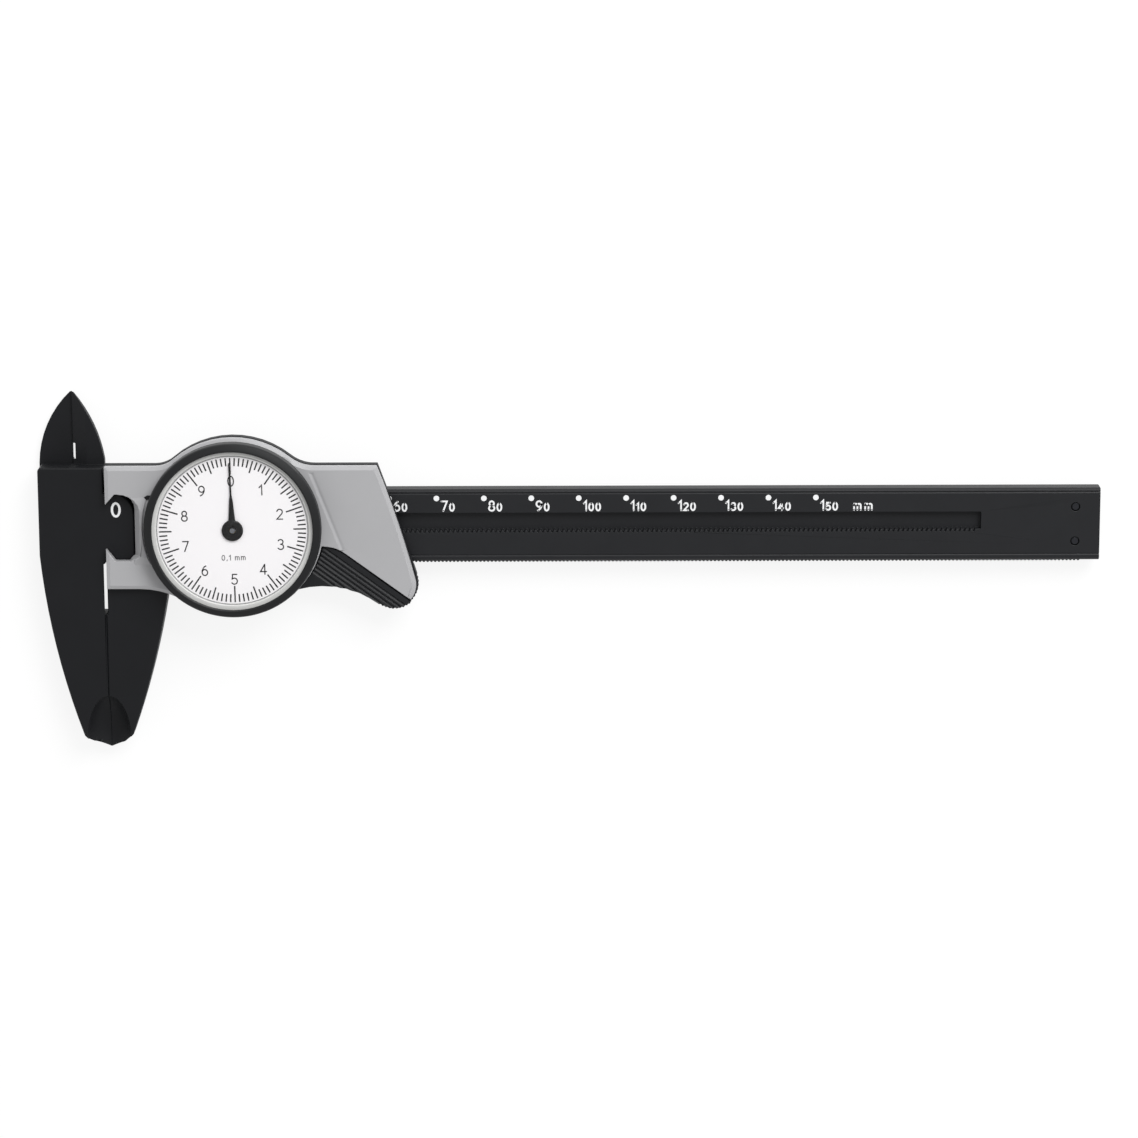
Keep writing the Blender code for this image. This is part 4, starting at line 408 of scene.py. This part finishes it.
def lettering(text, size, place, stroke_width, middle=False):
    """Flat letters of one stroke width, from the left end or the middle of their base line."""
    reach = size - stroke_width
    pen = stroke_width / 2.0
    lines = []
    start = pen
    for letter in text:
        shapes = STROKES.get(letter, ())
        for shape in shapes:
            lines.append([Vector((start + x * reach, pen + y * reach)) for x, y in shape])
        right = max((x for shape in shapes for x, y in shape), default=SPACE_WIDTH)
        start += right * reach + stroke_width + LETTER_GAP * size
    width = start - pen - LETTER_GAP * size
    work = bmesh.new()
    for line in lines:
        sides = []
        for index, point in enumerate(line):
            before = (point - line[index - 1]).normalized() if index else None
            after = (line[index + 1] - point).normalized() if index + 1 < len(line) else None
            if before is None or after is None:
                across = (before or after).orthogonal() * pen
            else:
                across = (before + after).normalized().orthogonal()
                across *= pen / max(across.dot(after.orthogonal()), LEAST_MITRE)
            sides.append((point + across, point - across))
        for near, far in zip(sides, sides[1:]):
            corners = (near[0], near[1], far[1], far[0])
            work.faces.new([work.verts.new((*corner, 0.0)) for corner in corners])
        for end in (line[0], line[-1]):
            turns = [math.radians(turn) for turn in range(0, 360, CAP_STEP)]
            cap = [(end.x + pen * math.cos(turn), end.y + pen * math.sin(turn), 0.0) for turn in turns]
            work.faces.new([work.verts.new(corner) for corner in cap])
    for face in work.faces:
        face.normal_update()
        if face.normal.z < 0.0:
            face.normal_flip()
    mesh = bpy.data.meshes.new(text)
    work.to_mesh(mesh)
    work.free()
    left = width / 2.0 if middle else 0.0
    mesh.transform(Matrix.Translation(place) @ Matrix.Scale(MM, 4) @ Matrix.Translation((-left, 0.0, 0.0)))
    return mesh, width


def joined_mesh(name, meshes):
    """One mesh of several."""
    work = bmesh.new()
    for mesh in meshes:
        work.from_mesh(mesh)
        bpy.data.meshes.remove(mesh)
    joined = bpy.data.meshes.new(name)
    work.to_mesh(joined)
    work.free()
    return joined


def printing_ink(name, thick, thin, roughness):
    """A printed ink film, a little thinner in places."""
    material, tree, output = empty_material(name)
    place = add_node(tree, "ShaderNodeTexCoord")
    film = add_node(tree, "ShaderNodeTexNoise", None,
                    {"Vector": place.outputs["Object"], "Scale": INK_CLOUD_SCALE, "Detail": 2.0})
    tint = add_node(tree, "ShaderNodeMix", {"data_type": "RGBA"},
                    {"Factor": film.outputs["Fac"], "A": srgb(thick), "B": srgb(thin)})
    shader = add_node(tree, "ShaderNodeBsdfPrincipled", None,
                      {"Base Color": tint.outputs["Result"], "Roughness": roughness,
                       "Specular IOR Level": 0.3})
    tree.links.new(shader.outputs[0], output.inputs["Surface"])
    return material


# Pad-printing ink is matt and covers well, so it reads as plain white with a faint greyness.
white_ink = printing_ink("white_pad_printing_ink", "#ffffff", "#eceef0", 0.5)
dot_sizes = {"First dot": at(0.0, DOT_Y, BEAM_FACE + INK_HEIGHT), "Step": Vector((DOT_STEP * MM, 0.0, 0.0)),
             "Radius": DOT_RADIUS * MM}
group, sizes = node_group("scale_dots", dot_sizes)
row = add_node(group, "GeometryNodeMeshLine", {"mode": "OFFSET"},
               {"Count": DOT_COUNT, "Start Location": sizes["First dot"], "Offset": sizes["Step"]})
dot = add_node(group, "GeometryNodeMeshCircle", {"fill_type": "NGON"},
               {"Vertices": DOT_SIDES, "Radius": sizes["Radius"]})
dots = add_node(group, "GeometryNodeInstanceOnPoints", None,
                {"Points": row.outputs[0], "Instance": dot.outputs[0]})
close_group(group, dots.outputs[0], white_ink)
made_by(group, "scale_dots", dot_sizes, white_ink, "fixed_frame")

figures = []
for tens in range(1, DOT_COUNT):
    start = tens * DOT_STEP + NUMBER_START
    for index, figure in enumerate(str(tens * 10)):
        size = OTHER_FIGURE if index else FIRST_FIGURE
        mesh, width = lettering(figure, size, at(start, NUMBER_BASE, BEAM_FACE + INK_HEIGHT), NUMBER_STROKE)
        figures.append(mesh)
        start += width + FIGURE_GAP
place = at(UNIT_START, NUMBER_BASE, BEAM_FACE + INK_HEIGHT)
figures.append(lettering("mm", UNIT_HEIGHT, place, NUMBER_STROKE)[0])
numbers = mesh_object("scale_numbers", joined_mesh("scale_numbers", figures), white_ink)
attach(numbers, "fixed_frame")

work = bmesh.new()
rings = []
for inset in (0.0, WINDOW_ZERO_STROKE):
    ring = []
    for step in range(WINDOW_ZERO_STEPS):
        angle = 2.0 * math.pi * step / WINDOW_ZERO_STEPS
        x = WINDOW_ZERO[0] + (WINDOW_ZERO_HALF[0] - inset) * math.cos(angle)
        y = WINDOW_ZERO[1] + (WINDOW_ZERO_HALF[1] - inset) * math.sin(angle)
        place = at(x, y)
        ring.append(work.verts.new((place.x, place.y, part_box("beam")[1].z + INK_HEIGHT * MM)))
    rings.append(ring)
for step in range(WINDOW_ZERO_STEPS):
    ahead = (step + 1) % WINDOW_ZERO_STEPS
    work.faces.new((rings[0][step], rings[0][ahead], rings[1][ahead], rings[1][step]))
mesh = bpy.data.meshes.new("window_zero")
work.to_mesh(mesh)
work.free()
window_zero = mesh_object("window_zero", mesh, white_ink)
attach(window_zero, "fixed_frame")

# End stop and its two pins. The stop is a plate of the same black nylon, and the pins are turned
# steel with a black oxide finish, pressed through the beam until their ends lie just below its face.
TURN_STEPS = 192
PIN_RADIUS = 0.8
PIN_EDGE = 0.14
PIN_HEAD_RADIUS = 1.4
PIN_HEAD_HEIGHT = 0.6
PIN_STEPS = 40


def turned(name, profile, centre, materials, steps=TURN_STEPS, sharp=SHARP_ANGLE):
    """A turned piece: a profile of (radius, height) in millimetres, spun about a centre."""
    work = bmesh.new()
    rows = []
    for radius, height in profile:
        angles = [2.0 * math.pi * step / steps for step in range(steps if radius > 0.0 else 1)]
        places = [(centre.x + radius * MM * math.cos(angle), centre.y + radius * MM * math.sin(angle),
                   height * MM) for angle in angles]
        rows.append([work.verts.new(place) for place in places])
    pairs = list(zip(rows, rows[1:]))
    if min(radius for radius, height in profile) > 0.0:
        pairs.append((rows[-1], rows[0]))
    for low, high in pairs:
        for step in range(steps):
            corners = [low[step % len(low)], low[(step + 1) % len(low)]]
            corners += [high[(step + 1) % len(high)], high[step % len(high)]]
            corners = list(dict.fromkeys(corners))
            if len(corners) > 2:
                work.faces.new(corners)
    bmesh.ops.recalc_face_normals(work, faces=work.faces)
    mesh = bpy.data.meshes.new(name)
    work.to_mesh(mesh)
    work.free()
    mesh.shade_smooth()
    mesh.set_sharp_from_angle(angle=sharp)
    return mesh_object(name, mesh, *materials)


METAL_GLOSS_SPREAD = 0.08


def worked_metal(name, colour, roughness, tool_mark, mark_height):
    """Metal with the fine unevenness and the patchy gloss that cutting tools and rollers leave."""
    material, tree, output = empty_material(name)
    place = add_node(tree, "ShaderNodeTexCoord")
    marks = add_node(tree, "ShaderNodeTexNoise", None,
                     {"Vector": place.outputs["Object"], "Scale": 1.0 / tool_mark, "Detail": 3.0,
                      "Roughness": 0.7})
    gloss = add_node(tree, "ShaderNodeMapRange", None,
                     {"Value": marks.outputs["Fac"], "To Min": roughness - METAL_GLOSS_SPREAD,
                      "To Max": roughness + METAL_GLOSS_SPREAD})
    relief = add_node(tree, "ShaderNodeBump", None,
                      {"Height": marks.outputs["Fac"], "Strength": 0.3, "Distance": mark_height})
    shader = add_node(tree, "ShaderNodeBsdfPrincipled", None,
                      {"Base Color": srgb(colour), "Metallic": 1.0, "Roughness": gloss.outputs["Result"],
                       "Normal": relief.outputs["Normal"]})
    tree.links.new(shader.outputs[0], output.inputs["Surface"])
    return material


softened_copy("end_stop", "end_stop_plate", (black_nylon,))
# Black oxide is a thin dull coat, so the steel looks nearly as dark as the beam.
black_oxide = worked_metal("black_oxide_steel", "#3c3d41", 0.55, 0.12 * MM, 0.01 * MM)
for pin in ("stop_pin_upper", "stop_pin_lower"):
    low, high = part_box(pin)
    foot = low.z / MM
    top = high.z / MM
    profile = [(0.0, foot), (PIN_HEAD_RADIUS - PIN_EDGE, foot), (PIN_HEAD_RADIUS, foot + PIN_EDGE)]
    profile += [(PIN_HEAD_RADIUS, foot + PIN_HEAD_HEIGHT), (PIN_RADIUS, foot + PIN_HEAD_HEIGHT)]
    profile += [(PIN_RADIUS, top - PIN_EDGE), (PIN_RADIUS - PIN_EDGE, top), (0.0, top)]
    piece = turned(pin + "_turned", profile, (low + high) / 2.0, (black_oxide,), PIN_STEPS)
    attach(piece, "fixed_frame")
    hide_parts(pin)

# Slide body and depth rod, mouldings of the same black nylon: the channel with the moving jaw and
# blade, the flange under the cover and the ribbed thumb rest. The rod is a strip, staked to the slide.
THUMB_REST_LEFT = 20.0
# The jaw, blade and channel are textured deeper; the thumb rest has the beam's finer texture.
slide_body = softened_copy("slide_body", "slide_moulding", (deep_nylon, black_nylon))
for face in slide_body.data.polygons:
    if face.center.x > at(THUMB_REST_LEFT, 0.0).x and face.center.y < at(0.0, -BEAM_HALF).y:
        face.material_index = 1
softened_copy("depth_rod", "depth_rod_strip", (black_nylon,))

# Cover, a shell moulded in silver ABS with a satin face, a bright sloping rim, the window with its
# hooked lips and the shallow crease that sets off its free end. Screws hold it from behind.
COVER_SHARP = math.radians(11.0)
COVER_SOFTNESS = 0.12 * MM
# Silver pigment in ABS gives a cool light grey with a soft, even gloss.
silver_abs = grained_finish("silver_abs_satin", "#b1b1b3", 0.4, 0.5, 0.03, 0.25)
softened_copy("slide_cover", "cover_shell", (silver_abs,), COVER_SOFTNESS, COVER_SHARP)

# Zero mark on the cover, a small black arrow printed beside the bezel, which the dial's zero is set
# against. The ink lies on the sloping end of the window's frame.
MARK_CORNERS = ((8.75, 7.05, 9.86), (9.25, 6.45, 9.98), (10.3, 6.75, 9.92), (10.45, 7.45, 9.86),
                (9.4, 7.45, 9.86))
# Printing ink in black is flat and dense, with hardly any gloss.
black_ink = printing_ink("black_printing_ink", "#0c0c0e", "#141417", 0.45)
work = bmesh.new()
work.faces.new([work.verts.new(at(*corner)) for corner in MARK_CORNERS])
mesh = bpy.data.meshes.new("zero_mark")
work.to_mesh(mesh)
work.free()
zero_mark = mesh_object("zero_mark", mesh, black_ink)
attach(zero_mark, "slide")

# Cover screws, three small pan heads of bright zinc-plated steel, driven from behind through the
# flange into the cover's bosses.
# Zinc plating is a bright, slightly blue metal.
zinc_steel = worked_metal("zinc_plated_steel", "#b9bcc0", 0.32, 0.15 * MM, 0.006 * MM)
SCREW_STEPS = 36
SCREW_HEAD_RADIUS = 1.3
SCREW_HEAD_HEIGHT = 0.9
SCREW_CROWN = ((0.95, 0.0), (1.18, 0.12), (1.28, 0.34), (1.3, 0.55))
SCREW_SOCKET = 0.45
SCREW_SOCKET_DEPTH = 0.45
SCREW_SHANK = 0.7

first_low, first_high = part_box("cover_screw_1")
foot = first_low.z / MM
profile = [(0.0, foot + SCREW_SOCKET_DEPTH), (SCREW_SOCKET, foot + SCREW_SOCKET_DEPTH)]
profile += [(SCREW_SOCKET, foot)]
profile += [(radius, foot + rise) for radius, rise in SCREW_CROWN]
profile += [(SCREW_HEAD_RADIUS, foot + SCREW_HEAD_HEIGHT), (SCREW_SHANK, foot + SCREW_HEAD_HEIGHT)]
profile += [(SCREW_SHANK, first_high.z / MM), (0.0, first_high.z / MM)]
screw = turned("cover_screw_pattern", profile, Vector((0.0, 0.0, 0.0)), (zinc_steel,), SCREW_STEPS)
screw_mesh = screw.data
bpy.data.objects.remove(screw, do_unlink=True)
screw_places = {}
for number in (1, 2, 3):
    low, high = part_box(f"cover_screw_{number}")
    middle = (low + high) / 2.0
    screw_places[f"Screw {number}"] = Vector((middle.x, middle.y, 0.0))
group, sizes = node_group("cover_screws", screw_places)
placed = []
for label in screw_places:
    placed.append(add_node(group, "GeometryNodeTransform", None,
                           {"Geometry": sizes[0], "Translation": sizes[label]}))
together = add_node(group, "GeometryNodeJoinGeometry")
for item in placed:
    group.links.new(item.outputs[0], together.inputs[0])
close_group(group, together.outputs[0], zinc_steel)
screws = made_by(group, "cover_screws", screw_places, zinc_steel, "slide", screw_mesh)
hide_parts("cover_screw_1", "cover_screw_2", "cover_screw_3")

# Springs, movement and snap ring, which lie inside: rolled spring steel, stamped and turned brass,
# small turned screws and the arbor. They keep their solids and get their metals.
# Brass shows warm yellow, and plain steel a neutral grey, both with a soft gloss.
brass = worked_metal("stamped_brass", "#c9a763", 0.34, 0.3 * MM, 0.008 * MM)
plain_steel = worked_metal("plain_turned_steel", "#8d8f93", 0.38, 0.1 * MM, 0.006 * MM)
for node in ("movement_plate", "pinion_bridge", "lower_bush", "upper_bush"):
    nodes[node].material_slots[0].material = brass
for node in ("slide_spring", "mesh_spring", "bezel_snap_ring", "bridge_screw_1", "bridge_screw_2",
             "plate_screw_1", "plate_screw_2", "pinion_arbor"):
    nodes[node].material_slots[0].material = plain_steel

# Dial, a thin plastic disc printed all over in soft white, that turns with the bezel. Its black
# artwork has 100 divisions of 0.1 mm, the figures 0 to 9 and the value of one division.
DIAL_TURN = math.radians(1.1)
DIAL_HOLE = 1.0
DIAL_EDGE = 0.04
DIAL_CLOUD_SCALE = 900.0
TICK_COUNT = 100
TICK_OUTSIDE = 15.43
TICK_WIDTH = 0.29
TICK_SHORT = 1.7
TICK_FIVE = 2.65
TICK_TEN = 3.5
FIGURE_HEIGHT = 2.35
FIGURE_RADIUS = 10.5
FIGURE_STROKE = 0.24
VALUE_DROP = 6.45
VALUE_HEIGHT = 1.2
VALUE_STROKE = 0.14

# The print makes the disc a soft white with no shine, and a very slight unevenness.
dial_paint, tree, output = empty_material("white_printed_dial")
place = add_node(tree, "ShaderNodeTexCoord")
film = add_node(tree, "ShaderNodeTexNoise", None,
                {"Vector": place.outputs["Object"], "Scale": DIAL_CLOUD_SCALE, "Detail": 3.0})
tint = add_node(tree, "ShaderNodeMix", {"data_type": "RGBA"},
                {"Factor": film.outputs["Fac"], "A": srgb("#fffdfe"), "B": srgb("#fcfafc")})
relief = add_node(tree, "ShaderNodeBump", None,
                  {"Height": film.outputs["Fac"], "Strength": 0.1, "Distance": 0.004 * MM})
shader = add_node(tree, "ShaderNodeBsdfPrincipled", None,
                  {"Base Color": tint.outputs["Result"], "Roughness": 0.5, "Specular IOR Level": 0.35,
                   "Normal": relief.outputs["Normal"]})
tree.links.new(shader.outputs[0], output.inputs["Surface"])

disc_radius = (dial_corners[1].x - dial_corners[0].x) / 2.0 / MM
back = dial_corners[0].z / MM
face_level = dial_corners[1].z / MM
profile = [(DIAL_HOLE, back), (disc_radius, back), (disc_radius, face_level - DIAL_EDGE)]
profile += [(disc_radius - DIAL_EDGE, face_level), (DIAL_HOLE, face_level)]
dial = turned("dial_disc", profile, dial_centre, (dial_paint,))
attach(dial, "dial_ring")
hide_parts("dial")

tick_sizes = {"Outside radius": TICK_OUTSIDE * MM, "Line width": TICK_WIDTH * MM,
              "Short line": TICK_SHORT * MM, "Fifth line": TICK_FIVE * MM, "Tenth line": TICK_TEN * MM,
              "Centre": Vector((dial_centre.x, dial_centre.y, dial_corners[1].z + INK_HEIGHT * MM))}
group, sizes = node_group("dial_divisions", tick_sizes)
circle = add_node(group, "GeometryNodeMeshCircle", None,
                  {"Vertices": TICK_COUNT, "Radius": sizes["Outside radius"]})
index = add_node(group, "GeometryNodeInputIndex")
length = sizes["Short line"]
for every, label in ((5.0, "Fifth line"), (10.0, "Tenth line")):
    rest = add_node(group, "ShaderNodeMath", {"operation": "MODULO"}, {0: index.outputs[0], 1: every})
    hit = add_node(group, "FunctionNodeCompare", {"data_type": "FLOAT", "operation": "LESS_THAN"},
                   {"A": rest.outputs[0], "B": 0.5})
    choice = add_node(group, "GeometryNodeSwitch", {"input_type": "FLOAT"},
                      {"Switch": hit.outputs[0], "False": length, "True": sizes[label]})
    length = choice.outputs[0]
angle = add_node(group, "ShaderNodeMath", {"operation": "MULTIPLY"},
                 {0: index.outputs[0], 1: 2.0 * math.pi / TICK_COUNT})
turn = add_node(group, "ShaderNodeCombineXYZ", None, {"Z": angle.outputs[0]})
scale = add_node(group, "ShaderNodeCombineXYZ", None, {"X": length, "Y": sizes["Line width"], "Z": 1.0})
line = add_node(group, "GeometryNodeMeshGrid", None,
                {"Size X": 1.0, "Size Y": 1.0, "Vertices X": 2, "Vertices Y": 2})
inward = add_node(group, "GeometryNodeTransform", None,
                  {"Geometry": line.outputs[0], "Translation": (-0.5, 0.0, 0.0)})
ticks = add_node(group, "GeometryNodeInstanceOnPoints", None,
                 {"Points": circle.outputs[0], "Instance": inward.outputs[0], "Rotation": turn.outputs[0],
                  "Scale": scale.outputs[0]})
upright = add_node(group, "GeometryNodeTransform", None,
                   {"Geometry": ticks.outputs[0], "Translation": sizes["Centre"],
                    "Rotation": (0.0, 0.0, math.pi / 2.0 + DIAL_TURN)})
close_group(group, upright.outputs[0], black_ink)
made_by(group, "dial_divisions", tick_sizes, black_ink, "dial_ring")

figures = []
ink_level = dial_corners[1].z + INK_HEIGHT * MM
for number in range(10):
    angle = math.pi / 2.0 - 2.0 * math.pi * number / 10.0
    x = FIGURE_RADIUS * math.cos(angle)
    y = FIGURE_RADIUS * math.sin(angle) - FIGURE_HEIGHT / 2.0
    place = Vector((x, y, 0.0)) * MM
    figures.append(lettering(str(number), FIGURE_HEIGHT, place, FIGURE_STROKE, True)[0])
place = Vector((0.0, -VALUE_DROP, 0.0)) * MM
figures.append(lettering("0,1 mm", VALUE_HEIGHT, place, VALUE_STROKE, True)[0])
artwork = joined_mesh("dial_figures", figures)
dial_place = Matrix.Translation((dial_centre.x, dial_centre.y, ink_level))
artwork.transform(dial_place @ Matrix.Rotation(DIAL_TURN, 4, "Z"))
figures = mesh_object("dial_figures", artwork, black_ink)
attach(figures, "dial_ring")

# Spacer ring between the dial and the crystal, turned from light plastic and polished. Its inner edge, where
# it stands on the dial, is painted a darker grey as the shade of that step, and the sloping land outside it
# is bright.
SPACER_WIDTH = 1.35
SPACER_STEP = 0.12
SPACER_EDGE = 0.21
SPACER_FLAT = (0.2, 0.04)
SPACER_SLOPE = 0.3
SPACER_LAND = 0.42
SPACER_FOOT = 0.08
spacer_low, spacer_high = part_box("dial_spacer_ring")
low = spacer_low.z / MM
high = spacer_high.z / MM
outside = (spacer_high.x - spacer_low.x) / 2.0 / MM
inside = outside - SPACER_WIDTH
# Polished plastic is a pale neutral grey with a clear gloss; the inner edge gets a darker, duller grey,
# which is painted shade of the step onto the dial.
pale_plastic = grained_finish("pale_polished_plastic", "#dcdcda", 0.25, 0.5, 0.02, 0.1)
profile = [(inside, low), (outside, low), (outside, high), (inside + SPACER_LAND, high)]
profile += [(inside + SPACER_SLOPE, high - SPACER_STEP)]
profile += [(inside + across, low + SPACER_STEP) for across in SPACER_FLAT]
profile += [(inside, low + SPACER_FOOT)]
ring_painted_shade = grained_finish("pale_plastic_painted_shade_edge", "#8f8f90", 0.5, 0.4, 0.04, 0.1)
spacer = turned("spacer_ring", profile, dial_centre, (pale_plastic, ring_painted_shade))
# Faces near the inner edge get the darker grey: painted shade where the ring steps down onto the dial.
for face in spacer.data.polygons:
    reach = math.hypot(face.center.x - dial_centre.x, face.center.y - dial_centre.y)
    if reach < (inside + SPACER_EDGE) * MM:
        face.material_index = 1
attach(spacer, "dial_ring")
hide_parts("dial_spacer_ring")

# Bezel, a turned ring of black acetal that carries dial, spacer and crystal. Its sloping face is
# satin, and its lip holds the crystal down; a wire in its groove keeps it on the cover's spigot.
BEZEL_BORE = 17.4
BEZEL_OPENING = 16.85
BEZEL_FOOT_INSET = 0.5
BEZEL_FOOT_HEIGHT = 0.6
BEZEL_LIP = 0.3
BEZEL_LIP_EDGE = 0.15
BEZEL_FACE = ((0.0, 1.15), (0.02, 0.85), (0.1, 0.56), (0.28, 0.36), (1.2, 0.05), (1.45, 0.0))
BEZEL_GROOVE = (0.35, 0.2, 1.3)
bezel_low, bezel_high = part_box("bezel")
foot = bezel_low.z / MM
front = bezel_high.z / MM
outside = (bezel_high.x - bezel_low.x) / 2.0 / MM
profile = [(BEZEL_BORE, foot), (outside - BEZEL_FOOT_INSET, foot), (outside, foot + BEZEL_FOOT_HEIGHT)]
profile += [(outside - inset, front - drop) for inset, drop in BEZEL_FACE]
profile += [(BEZEL_OPENING, front - BEZEL_LIP_EDGE), (BEZEL_OPENING, front - BEZEL_LIP)]
profile += [(BEZEL_BORE, front - BEZEL_LIP), (BEZEL_BORE, foot + BEZEL_GROOVE[2])]
profile += [(BEZEL_BORE + BEZEL_GROOVE[0], foot + rise) for rise in reversed(BEZEL_GROOVE[1:])]
profile += [(BEZEL_BORE, foot + BEZEL_GROOVE[1])]
# Turned acetal is black with a soft satin gloss, so the sloping face shows a band of one tone.
black_acetal = grained_finish("black_acetal_satin", "#141517", 0.45, 0.4, 0.06, 0.15)
bezel = turned("bezel_ring", profile, dial_centre, (black_acetal,))
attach(bezel, "dial_ring")
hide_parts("bezel")

# Crystal, a flat window of clear acrylic with a bevelled edge under the bezel's lip. Light passes
# straight through it to the dial, and only its gloss shows.
CRYSTAL_BEVEL = 0.2
CRYSTAL_INDEX = 1.25
CRYSTAL_HAZE = 0.04
WIPE_SCALE = 90.0
crystal_low, crystal_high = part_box("crystal")
back = crystal_low.z / MM
front = crystal_high.z / MM
outside = (crystal_high.x - crystal_low.x) / 2.0 / MM
# Wiped acrylic is clear with a very faint haze. The index is below real acrylic's 1.49, because the
# photograph shows almost no reflection over the black hub.
clear_acrylic, tree, output = empty_material("clear_acrylic")
rays = add_node(tree, "ShaderNodeLightPath")
through = add_node(tree, "ShaderNodeMath", {"operation": "MAXIMUM"},
                   {0: rays.outputs["Is Shadow Ray"], 1: rays.outputs["Is Diffuse Ray"]})
place = add_node(tree, "ShaderNodeTexCoord")
wiped = add_node(tree, "ShaderNodeTexNoise", None,
                 {"Vector": place.outputs["Object"], "Scale": WIPE_SCALE, "Detail": 2.0})
gloss = add_node(tree, "ShaderNodeMapRange", None,
                 {"Value": wiped.outputs["Fac"], "To Min": 0.0, "To Max": CRYSTAL_HAZE})
shader = add_node(tree, "ShaderNodeBsdfPrincipled", None,
                  {"Base Color": srgb("#ffffff"), "Roughness": gloss.outputs["Result"], "IOR": CRYSTAL_INDEX,
                   "Transmission Weight": 1.0})
clear = add_node(tree, "ShaderNodeBsdfTransparent", None, {"Color": srgb("#ffffff")})
mixed = add_node(tree, "ShaderNodeMixShader", None,
                 {0: through.outputs[0], 1: shader.outputs[0], 2: clear.outputs[0]})
tree.links.new(mixed.outputs[0], output.inputs["Surface"])
profile = [(0.0, back), (outside, back), (outside, front - CRYSTAL_BEVEL)]
profile += [(outside - CRYSTAL_BEVEL, front), (0.0, front)]
crystal = turned("crystal_window", profile, dial_centre, (clear_acrylic,))
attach(crystal, "dial_ring")
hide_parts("crystal")

# Pointer, stamped from brass sheet and lacquered black, pressed by its hub on the arbor's end.
NEEDLE_SOFTNESS = 0.04 * MM
# Lacquer over brass is a smooth deep black, here with little gloss.
lacquer = grained_finish("black_lacquer", "#0a0a0b", 0.5, 0.3, 0.05, 0.05)
softened_copy("pointer", "pointer_needle", (lacquer,), NEEDLE_SOFTNESS)
